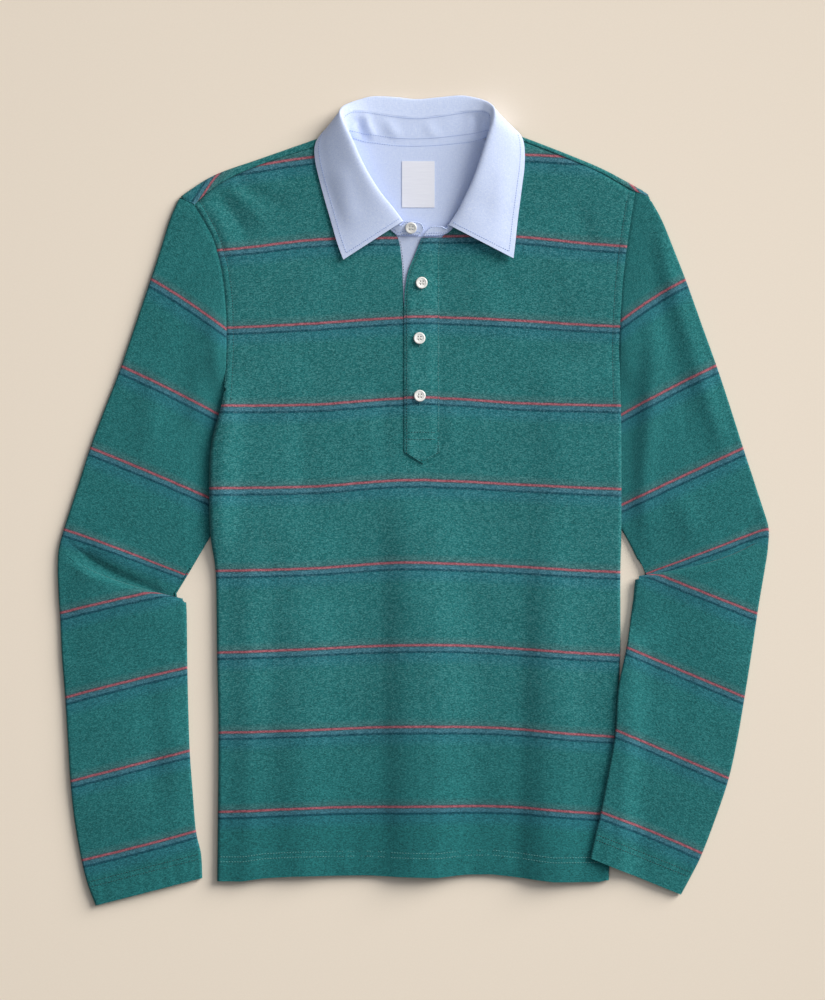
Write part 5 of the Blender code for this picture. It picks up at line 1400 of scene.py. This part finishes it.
def linear(hex_colour):
    """Linear RGBA of an sRGB hex colour."""
    channels = [int(hex_colour[place:place + 2], 16) / 255 for place in (1, 3, 5)]
    return [value / 12.92 if value <= 0.04045 else ((value + 0.055) / 1.055) ** 2.4
            for value in channels] + [1.0]


def add(tree, kind, inputs=(), **settings):
    """A node with its settings; inputs pair a socket's name or number with a value or output."""
    node = tree.nodes.new("ShaderNode" + kind)
    for name, value in settings.items():
        setattr(node, name, value)
    for socket, value in dict(inputs).items():
        if isinstance(value, bpy.types.NodeSocket):
            tree.links.new(value, node.inputs[socket])
        else:
            node.inputs[socket].default_value = value
    return node


def surface(name, roughness, **sockets):
    """A new Principled material with its node tree and shader; sockets are named in words."""
    made = bpy.data.materials.new(name)
    made.use_nodes = True
    tree = made.node_tree
    shader = tree.nodes["Principled BSDF"]
    shader.inputs["Roughness"].default_value = roughness
    for socket, value in sockets.items():
        shader.inputs[socket.replace("_", " ")].default_value = value
    return made, tree, shader


def ramp(tree, value, stops):
    """Colour ramp from (place, linear colour) stops."""
    node = add(tree, "ValToRGB", {0: value})
    elements = node.color_ramp.elements
    while len(elements) < len(stops):
        elements.new(0.5)
    for element, (place, colour) in zip(elements, stops):
        element.position = place
        element.color = colour
    return node.outputs["Color"]


def object_noise(tree, scale, detail, distortion=0.0):
    """Noise in an object's own space."""
    return add(tree, "TexNoise", {"Vector": add(tree, "TexCoord").outputs["Object"],
                                  "Scale": scale, "Detail": detail,
                                  "Distortion": distortion}).outputs["Fac"]


def cloth_grid(tree, weave, across, down):
    """Cloth coordinates in cells of so many millimetres across and down."""
    return add(tree, "Mapping", {"Vector": weave, "Scale": (1 / (across * MM), 1 / (down * MM),
                                                           1.0)}).outputs[0]


def grains(tree, weave, across, down):
    """Noise whose grains are so many millimetres across and down the cloth."""
    return add(tree, "TexNoise", {"Vector": cloth_grid(tree, weave, across, down), "Scale": 1.0,
                                  "Detail": 1.0, "Roughness": 0.6}).outputs["Fac"]


def ranged(tree, value, start, end, low=0.0, high=1.0):
    """An output moved from one range to another, and kept inside it."""
    return add(tree, "MapRange", {"Value": value, "From Min": start, "From Max": end,
                                  "To Min": low, "To Max": high}).outputs[0]


def math_node(tree, operation, *inputs):
    """Result of a Math node."""
    return add(tree, "Math", dict(enumerate(inputs)), operation=operation).outputs[0]


def sums(tree, *terms):
    """Sum of outputs, each times its number."""
    parts = [math_node(tree, "MULTIPLY", value, times) for value, times in terms]
    total = parts[0]
    for part in parts[1:]:
        total = math_node(tree, "ADD", total, part)
    return total


def tinted(tree, colour, value, low, high, start=0.3, end=0.7):
    """A colour darkened and lightened by noise, between two factors."""
    factor = ranged(tree, value, start, end, low, high)
    return add(tree, "Mix", {"Factor": 1.0, 6: colour, 7: factor}, data_type="RGBA",
               blend_type="MULTIPLY").outputs[2]


def shaded(tree, shader, colour, height=None, strength=0.0, distance=0.0002):
    """Gives a material its colour and, from a height, its bump."""
    tree.links.new(colour, shader.inputs["Base Color"])
    if height:
        bump = add(tree, "Bump", {"Height": height, "Strength": strength, "Distance": distance})
        tree.links.new(bump.outputs[0], shader.inputs["Normal"])


def heathered_knit(name, colours, pale_share_and_sheen=1.0, tone=1.0, low=1.0):
    """Heavy jersey of mixed green and blue fibres, yarn-dyed stripes and a matt, faintly fuzzy face.

    Each loop has its own mix of dark and pale fibres, which gives a crisp speckle, and the yarn
    runs in streaks along the courses. The loops are drawn at 1.15 by 0.6 mm. pale_share_and_sheen
    is the share of pale fibres: real heather, with painted sheen on top. tone lightens or darkens
    the whole piece: painted light above 1, painted shade below it. Towards the hem both fall to
    the share low, a painted shade and a painted sheen that fades.
    """
    made, tree, shader = surface(name, 0.92, Sheen_Weight=0.1, Sheen_Roughness=0.5,
                                 Specular_IOR_Level=0.15)
    weave = add(tree, "UVMap", uv_map=WEAVE).outputs[0]
    loops = add(tree, "TexVoronoi", {"Vector": cloth_grid(tree, weave, *LOOP), "Scale": 1.0,
                                     "Randomness": 0.7}, voronoi_dimensions="2D")
    mixes = add(tree, "SeparateColor", {0: loops.outputs["Color"]}).outputs[0]
    streaks = grains(tree, weave, 7.0, 0.7)
    slow = grains(tree, weave, 60.0, 45.0)
    wander = grains(tree, weave, 14.0, 40.0)
    parts = add(tree, "SeparateXYZ", {0: add(tree, "UVMap", uv_map=DYE).outputs[0]})
    down = sums(tree, (parts.outputs[1], 1000.0), (wander, 0.8))
    repeat = math_node(tree, "WRAP", down, STRIPE_PITCH - STRIPE_LEAD, -STRIPE_LEAD)
    stops = [((centre + STRIPE_LEAD + 0.42) / STRIPE_PITCH, getattr(colours, colour))
             for centre, colour in STRIPE_CHART]
    dyed = ramp(tree, ranged(tree, repeat, -STRIPE_LEAD, STRIPE_PITCH - STRIPE_LEAD), stops)
    fibres = sums(tree, (mixes, 0.65), (streaks, 0.65))
    mixed = tinted(tree, dyed, fibres, 0.54, 1.4, 0.25, 1.05)
    mixed = tinted(tree, mixed, slow, 0.95, 1.05)
    length = add(tree, "SeparateXYZ", {0: weave}).outputs[1]
    # painted shade: the piece darkens from tone to tone times low towards the hem
    mixed = tinted(tree, mixed, length, tone, tone * low, 0.46, 0.7)
    # share of pale fibres, real heather with painted sheen on top, which fades towards the hem
    pale_fibres_and_sheen = ranged(tree, length, 0.5, 0.66, pale_share_and_sheen, pale_share_and_sheen * low ** 12)
    pale = math_node(tree, "MULTIPLY", ranged(tree, fibres, 0.66, 1.06, 0.0, 0.115), pale_fibres_and_sheen)
    blended = add(tree, "Mix", {"Factor": pale, 6: mixed, 7: tuple(colours.pale_fibre)},
                  data_type="RGBA").outputs[2]
    shaded(tree, shader, blended, fibres, 0.25)
    return made


def oxford_cotton(name, colours, evenness=0.3, tone=1.0):
    """Pale blue oxford: blue warp and white weft, woven plain, pressed and matt.

    Its baskets are near 0.6 mm, finer than the picture shows, so they are drawn at 0.9 mm. The
    larger evenness is, the less the threads differ. tone lightens or darkens the whole
    piece: painted light above 1, painted shade below it, for pieces of the same shirting.
    """
    made, tree, shader = surface(name, 0.85, Sheen_Weight=0.05, Specular_IOR_Level=0.2)
    weave = add(tree, "UVMap", uv_map=WEAVE).outputs[0]
    warp, weft, slub = (grains(tree, weave, *size)
                        for size in ((THREAD, 4.0), (4.0, THREAD), (THREAD, THREAD)))
    threads = sums(tree, (warp, 0.3), (weft, 0.3), (slub, 0.4))
    dyed = ramp(tree, ranged(tree, threads, 0.5 - evenness, 0.5 + evenness),
                [(0.0, colours.cotton_blue), (0.5, colours.cotton), (1.0, colours.cotton_white)])
    shaded(tree, shader, tinted(tree, dyed, threads, tone, tone), threads, 0.15)
    return made


def satin_tape(name, colours):
    """White woven polyester satin: fine ribs across and a low, soft gloss."""
    made, tree, shader = surface(name, 0.45, Specular_IOR_Level=0.4)
    ribs = grains(tree, add(tree, "UVMap", uv_map=WEAVE).outputs[0], 20.0, 0.9)
    white = ramp(tree, ribs, [(0.3, colours.tape), (0.7, colours.tape_light)])
    shaded(tree, shader, white, ribs, 0.1, 0.0001)
    return made


def pearly_button(name, colours):
    """Cast polyester button, turned and polished: off-white with faint pearly clouds."""
    made, tree, shader = surface(name, 0.28, Coat_Weight=0.3, Coat_Roughness=0.15)
    clouds = object_noise(tree, 220.0, 3.0, 0.6)
    shaded(tree, shader, ramp(tree, clouds, [(0.35, colours.button), (0.65, colours.button_light)]))
    return made


def mottled(name, roughness, colour, scale, detail, low, high, **sockets):
    """A material of one colour, unevenly dyed between two factors."""
    made, tree, shader = surface(name, roughness, **sockets)
    uneven = object_noise(tree, scale, detail)
    flat = ramp(tree, uneven, [(0.0, colour), (1.0, colour)])
    shaded(tree, shader, tinted(tree, flat, uneven, low, high))
    return made


def sewing_thread(name, colour):
    """Spun polyester thread, slightly glossy, with uneven dye from stitch to stitch."""
    return mottled(name, 0.6, colour, 900.0, 1.0, 0.8, 1.15, Sheen_Weight=0.1)


def backdrop_paper(name, colours):
    """Seamless warm paper backdrop, matt, with the faintest tooth."""
    return mottled(name, 0.95, colours.paper, 700.0, 2.0, 0.99, 1.01, Specular_IOR_Level=0.1)


LOOP = (1.15, 0.6)      # the knit's loops as drawn, across and down, in millimetres
THREAD = 0.9            # the shirting's threads as drawn
# The stripe repeat from the red line's middle, in millimetres down the cloth
STRIPE_LEAD = 34.0
STRIPE_CHART = [(-34.0, "base"), (-9.0, "base"), (-3.6, "warm"), (-2.6, "warm"), (-1.5, "dusk"),
                (-0.7, "red"), (0.5, "red"), (1.2, "dusk"), (2.3, "steel"), (4.9, "steel"),
                (5.8, "navy"), (7.0, "navy"), (8.1, "cool"), (12.0, "cool"), (20.0, "base"),
                (45.2, "base")]


def colour(name, description, hex_colour):
    """A colour setting, from its sRGB hex."""
    return FloatVectorProperty(name=name, description=description, default=linear(hex_colour),
                               size=4, min=0.0, max=1.0, subtype="COLOR")


def size(name, description, default, **settings):
    """A size setting with its unit or subtype."""
    return FloatProperty(name=name, description=description, default=default, min=0.0,
                         precision=4, **settings)


class SHIRT_PG_colours(bpy.types.PropertyGroup):
    """Colours of the yarns, cloths, plastic, threads and paper."""
    base: colour("Jersey", "Green ground of the knit", "#1d6b6c")
    warm: colour("Jersey over the line", "Greyer green that leads up to the red line", "#346a6b")
    dusk: colour("Beside the line", "Dull yarn that meets the red line on both sides", "#3c545c")
    red: colour("Red line", "Red yarn of the stripes", "#9b545f")
    steel: colour("Blue band", "Greyish blue yarn under the red line", "#376c7b")
    navy: colour("Dark line", "Dark blue yarn at the blue band's foot", "#084957")
    cool: colour("Jersey under the line", "Bluer green below the dark line", "#216b74")
    pale_fibre: colour("Pale fibres", "Brushed fibres of the knit's face", "#b4c6c4")
    cotton_blue: colour("Oxford warp", "Blue threads of the shirting", "#acbde1")
    cotton: colour("Oxford", "Middle tone of the shirting", "#c6d2ee")
    cotton_white: colour("Oxford weft", "White threads of the shirting", "#e0e7f6")
    tape: colour("Label ribs", "Shaded ribs of the label's satin", "#dedfe8")
    tape_light: colour("Label", "Lit ribs of the label's satin", "#e3e4ec")
    button: colour("Button clouds", "Darker clouds of the buttons", "#dddbd5")
    button_light: colour("Button", "Light part of the buttons", "#f0efea")
    teal_thread: colour("Seam thread", "Thread of the knit's seams", "#103c40")
    hem_thread: colour("Hem thread", "Thread of the hem's rows", "#548c8b")
    # a pale blue thread, painted darker than the shirting for the shade in its stitch holes
    collar_thread_and_hole_shade: colour("Collar thread", "Thread of the shirting's seams", "#8ba1d2")
    white_thread: colour("Button thread", "Thread that holds the buttons", "#eeece6")
    paper: colour("Paper", "Backdrop", "#e8dbca")


class SHIRT_PG_sizes(bpy.types.PropertyGroup):
    """Walls, folds, sewing, light and lens."""
    knit_wall: size("Knit wall", "Thickness of the jersey", KNIT * MM, unit="LENGTH")
    woven_wall: size("Shirting wall", "Thickness of one layer of shirting", WOVEN * MM,
                     unit="LENGTH")
    collar_wall: size("Collar wall", "Thickness of the collar's two layers", COLLAR_PLY * MM,
                      unit="LENGTH")
    fold_depth: size("Fold depth", "Times the depth of every soft fold", 1.0, subtype="FACTOR")
    thread_radius: size("Thread radius", "Half the seam thread's width", 0.00038, unit="LENGTH")
    stitch_length: size("Stitch length", "Visible length of a stitch", 0.0019, unit="LENGTH")
    stitch_pitch: size("Stitch pitch", "From one stitch to the next", 0.0027, unit="LENGTH")
    window_light: size("Window", "Strength of the window's light", 4.75)
    window_spread: size("Window spread", "Angle that the window fills", math.radians(38.0),
                        subtype="ANGLE")
    overhead_light: size("Overhead", "Power of the light overhead", 2.75, unit="POWER")
    room_light: size("Room", "Strength of the room's own light", 0.2)
    lens: size("Lens", "Focal length that gives the photograph's frame", 110.96, unit="CAMERA")


def rides(made, node):
    """Puts a cloth piece in place of the node that it replaces, riding with the shirt."""
    stands_for(made, node)


class Builds:
    """An operator's run: it builds its pieces in the panel's colours."""

    def execute(self, context):
        self.build(context.scene.shirt_colours)
        return {"FINISHED"}


class SHIRT_OT_body(Builds, bpy.types.Operator):
    """Front and back panels in striped knit."""
    bl_idname = "shirt.body"
    bl_label = "Front and back"

    def build(self, colours):
        back = back_panel(heathered_knit("striped heathered jersey, back", colours))
        rides(back, "back_panel")
        # low=0.85 is painted shade: the front darkens towards the hem, and its painted sheen fades
        # there
        front = front_panel(heathered_knit("striped heathered jersey, front", colours, low=0.85))
        rides(front, "front_panel")


class SHIRT_OT_sleeves(Builds, bpy.types.Operator):
    """Both sleeves, each a tube that is pleated at the elbow."""
    bl_idname = "shirt.sleeves"
    bl_label = "Sleeves"

    def build(self, colours):
        # painted shade: both sleeves are darker than the body, with less pale fibre and painted sheen
        # (0.5), and the left darkens more towards its cuff
        for name, hand, tone, low in (("left", LEFT, 0.94, 0.9), ("right", RIGHT, 0.93, 0.98)):
            jersey = heathered_knit(f"striped heathered jersey, {name} sleeve", colours, 0.5, tone,
                                    low)
            made = sleeve(name + "_sleeve_cloth", hand, jersey)
            rides(made, "sleeve_" + name)


class SHIRT_OT_placket(Builds, bpy.types.Operator):
    """Under band in oxford and top band in knit."""
    bl_idname = "shirt.placket"
    bl_label = "Placket"

    def build(self, colours):
        # tone=0.77 is painted shade: the under band, deep in the open neck, is darker than the same
        # shirting elsewhere
        under = placket_under(oxford_cotton("pale blue oxford, under band", colours, tone=0.77))
        rides(under, "placket_under")
        # 1.2 and 1.07 are painted light: the top band is lighter than the body's jersey of the same
        #                                 knit, with more pale sheen
        top = placket_top(heathered_knit("striped heathered jersey, top band", colours, 1.2, 1.07))
        rides(top, "placket_top")


class SHIRT_OT_collar(Builds, bpy.types.Operator):
    """Stand with its tabs, and the leaf that falls from it."""
    bl_idname = "shirt.collar"
    bl_label = "Collar"

    def build(self, colours):
        # tone=1.08 is painted light: the stand is lighter than the leaf of the same shirting, as if
        # lit
        stand = collar_stand(oxford_cotton("pale blue oxford, stand", colours, tone=1.08))
        rides(stand, "collar_stand")
        leaf = collar_leaf(oxford_cotton("pale blue oxford, leaf", colours))
        rides(leaf, "collar_leaf")


class SHIRT_OT_neck(Builds, bpy.types.Operator):
    """Facing and blank label inside the neck."""
    bl_idname = "shirt.neck"
    bl_label = "Facing and label"

    def build(self, colours):
        # tone 0.97 is painted shade: the facing is a little darker than the leaf of the same shirting
        facing = neck_facing(oxford_cotton("pale blue oxford, facing", colours, 0.4, 0.97))
        rides(facing, "neck_facing")
        label = neck_label(satin_tape("white satin tape", colours))
        rides(label, "neck_label")


class SHIRT_OT_buttons(Builds, bpy.types.Operator):
    """Collar button and three placket buttons with their thread."""
    bl_idname = "shirt.buttons"
    bl_label = "Buttons"

    def build(self, colours):
        seat = BAND_HEIGHT + KNIT / 2 + GAP + BUTTON_THICKNESS / 2
        finish = pearly_button("polished off-white button", colours)
        thread = sewing_thread("white button thread", colours.white_thread)
        places = [("button_collar", COLLAR_BUTTON, TAB_TILT)]
        places += [(f"button_{count}", (x, y, seat), 0.0)
                   for count, (x, y) in enumerate(BUTTONS, start=1)]
        half = HOLE_SPACING / 2
        for node, place, tilt in places:
            stands_for(button(node + "_turned", place, tilt, finish), node)
            tilted = Matrix.Rotation(math.radians(tilt), 4, "X")
            bars = [[Vector(place) + tilted @ Vector((side, half * y, z)) for y, z in BUTTON_BAR]
                    for side in (-half, half)]
            sew(node + "_thread", bars, thread, length=1.2, pitch=0.6, thickness=0.55)


class SHIRT_OT_sewing(Builds, bpy.types.Operator):
    """Stitches of every seam that shows."""
    bl_idname = "shirt.sewing"
    bl_label = "Sewing"

    def build(self, colours):
        teal = sewing_thread("dark teal sewing thread", colours.teal_thread)
        # collar thread with painted shade of its stitch holes
        pale = sewing_thread("pale blue sewing thread", colours.collar_thread_and_hole_shade)
        light = sewing_thread("pale teal sewing thread", colours.hem_thread)
        raised = KNIT / 2 + THREAD_RAISED
        seam = sizes().stitch_length / MM, sizes().stitch_pitch / MM
        fine = seam[0] * FINE_STITCH, seam[1] * FINE_PITCH
        self.armholes(raised, teal, seam)
        self.hems(raised, light, teal, seam)
        self.placket(raised, light, teal, seam)
        self.collar(pale, fine)

    def armholes(self, raised, thread, seam):
        """The line beside each armhole, on the body."""
        lines = [[(at_height(SIDE[hand], y) - hand * ARMHOLE_STITCH, y) for y in ARMHOLE_LINE]
                 for hand in (LEFT, RIGHT)]
        sew("armhole_stitches", [on_front(line, raised) for line in lines], thread, *seam)

    def hems(self, raised, light, dark, seam):
        """Two lines round the hem, and round each cuff."""
        twins = (HEM_STITCH, HEM_STITCH - HEM_TWIN)
        sew("hem_stitches", [on_front([(x, across(HEM, x) + distance) for x in HEM_LINE], raised)
                             for distance in twins], light, *seam)
        first = len(INNER_ANGLES)
        cuffs = []
        for name in ("left_sleeve_cloth", "right_sleeve_cloth"):
            columns = list(zip(*surfaces[name]))
            for distance in twins:
                places = [(set_back(columns[column], distance), column)
                          for column in range(first, first + SLEEVE_COLUMNS + 1)]
                cuffs.append(along_surface(name, places, raised))
        sew("cuff_stitches", cuffs, dark, *seam)

    def placket(self, raised, light, dark, seam):
        """Both edges of the top band with its foot and bars, the under band and buttonholes."""
        band = surfaces["top_band"]
        sides = []
        for edge, inset in BAND_INSETS:
            places = []
            for index, row in enumerate(band[:-1]):
                x = row[edge].x + inset
                places.append((index, (x - row[0].x) / (row[-1].x - row[0].x) * (len(row) - 1)))
            sides.append(along_surface("top_band", places, raised + BAND_THREAD))
        free = [point for point in sides[1] if point.y > BAND_BARS[0]]
        sides[1] = sides[1][len(free):]
        middle = Vector((BAND_POINT[0], BAND_POINT[1] + FOOT_STITCH, sides[0][-1].z))
        for side in sides:
            side.append(middle)
        for y in BAND_BARS:
            below = next(index for index, row in enumerate(band) if row[0].y < y)
            up = (y - band[below][0].y) / (band[below - 1][0].y - band[below][0].y)
            bar = [(below - up, column) for column in range(2, BAND_COLUMNS - 1)]
            sides.append(along_surface("top_band", bar, raised + BAR_THREAD))
        places = [(line, UNDER_COLUMN) for line in UNDER_LINES]
        sides.append(along_surface("under_band", places, WOVEN / 2))
        sew("placket_stitches", sides, dark, *seam, thickness=0.75)
        sew("placket_edge_stitches", [free], light, *seam, thickness=0.7)
        marks = [[point + Vector((0, -reach, KNIT + GAP)) for reach in BUTTONHOLE]
                 for point in on_front(BUTTONS, raised)]
        sew("buttonhole_stitches", marks, light, length=1.0, pitch=0.9)

    def collar(self, thread, fine):
        """Three lines along the stand, and one round the leaf."""
        lines = range(2, len(surfaces["stand_cloth"]) - 2)
        sew("stand_stitches", [along_surface("stand_cloth", [(line, column) for line in lines],
                                             COLLAR_PLY / 2)
                               for column in STAND_COLUMNS], thread, *fine)
        edge = [set_back(row, LEAF_STITCH) for row in surfaces["leaf_cloth"]]
        last = len(edge) - 1
        inset = LEAF_STITCH / LEAF_SECTION * STAND_FINER
        paths = []
        for end, run in ((inset, range(LEAF_CORNER, LEAF_HIDDEN)),
                         (last - inset, range(last - LEAF_CORNER, last - LEAF_HIDDEN, -1))):
            places = [(end, column) for column in range(LEAF_COLUMN, int(edge[run[0]]))]
            places += [(line, edge[line]) for line in run]
            paths.append(along_surface("leaf_cloth", places, COLLAR_PLY / 2))
        sew("leaf_stitches", paths, thread, *fine)


class SHIRT_OT_stage(Builds, bpy.types.Operator):
    """Paper backdrop, soft lights and the camera above."""
    bl_idname = "shirt.stage"
    bl_label = "Backdrop, lights and camera"

    def build(self, colours):
        scene = bpy.context.scene
        floor = bmesh.new()
        bmesh.ops.create_grid(floor, x_segments=2, y_segments=2, size=FLOOR_SIZE)
        bmesh.ops.translate(floor, verts=floor.verts[:], vec=(0, 0, -FLOOR_DROP))
        paper = linked("paper_backdrop", floor)
        paper.data.materials.append(backdrop_paper("seamless warm paper", colours))
        scene.world = bpy.data.worlds.new("soft room")
        scene.world.use_nodes = True
        room = scene.world.node_tree.nodes["Background"]
        room.inputs["Color"].default_value = ROOM_TINT
        room.inputs["Strength"].default_value = sizes().room_light
        scene.view_settings.view_transform = "Standard"
        window = self.lamp("window", "SUN", WINDOW_PLACE, WINDOW_PLACE)
        window.energy = sizes().window_light
        window.angle = sizes().window_spread
        window.color = WINDOW_TINT
        overhead = self.lamp("overhead", "AREA", OVERHEAD_PLACE, (0, 0, OVERHEAD_PLACE[2]))
        overhead.shape = "DISK"
        overhead.size = OVERHEAD_SIZE
        overhead.energy = sizes().overhead_light
        overhead.color = OVERHEAD_TINT
        lens = bpy.data.cameras.new("above")
        lens.lens = sizes().lens
        lens.sensor_width = 36.0
        lens.dof.use_dof = False
        scene.camera = placed("above", lens, CAMERA_PLACE)

    def lamp(self, name, kind, place, above):
        """A light at a place, which shines along the line from above to the shirt's middle."""
        light = bpy.data.lights.new(name, kind)
        lamp = placed(name, light, place)
        lamp.rotation_euler = (-Vector(above)).to_track_quat("-Z", "Y").to_euler()
        return light


class SHIRT_PT_panel(bpy.types.Panel):
    """Buttons that build each part of the shirt, and its sizes and colours."""
    bl_idname = "SHIRT_PT_panel"
    bl_label = "Polo shirt"
    bl_space_type = "VIEW_3D"
    bl_region_type = "UI"
    bl_category = "Polo shirt"

    def draw(self, context):
        for operator in OPERATORS:
            self.layout.operator(operator.bl_idname)
        for group in (context.scene.shirt_sizes, context.scene.shirt_colours):
            for name in type(group).__annotations__:
                self.layout.prop(group, name)


OPERATORS = (SHIRT_OT_body, SHIRT_OT_sleeves, SHIRT_OT_placket, SHIRT_OT_collar, SHIRT_OT_neck,
             SHIRT_OT_buttons, SHIRT_OT_sewing, SHIRT_OT_stage)


def register():
    """Adds the settings, the operators and the panel."""
    for cls in (SHIRT_PG_colours, SHIRT_PG_sizes, *OPERATORS, SHIRT_PT_panel):
        bpy.utils.register_class(cls)
    bpy.types.Scene.shirt_colours = PointerProperty(type=SHIRT_PG_colours)
    bpy.types.Scene.shirt_sizes = PointerProperty(type=SHIRT_PG_sizes)


def unregister():
    """Takes them out again."""
    del bpy.types.Scene.shirt_colours, bpy.types.Scene.shirt_sizes
    for cls in reversed((SHIRT_PG_colours, SHIRT_PG_sizes, *OPERATORS, SHIRT_PT_panel)):
        bpy.utils.unregister_class(cls)


def main():
    """Builds every piece and the stage."""
    register()
    for operator in OPERATORS:
        family, name = operator.bl_idname.split(".")
        getattr(getattr(bpy.ops, family), name)()


if __name__ == "__main__":
    main()
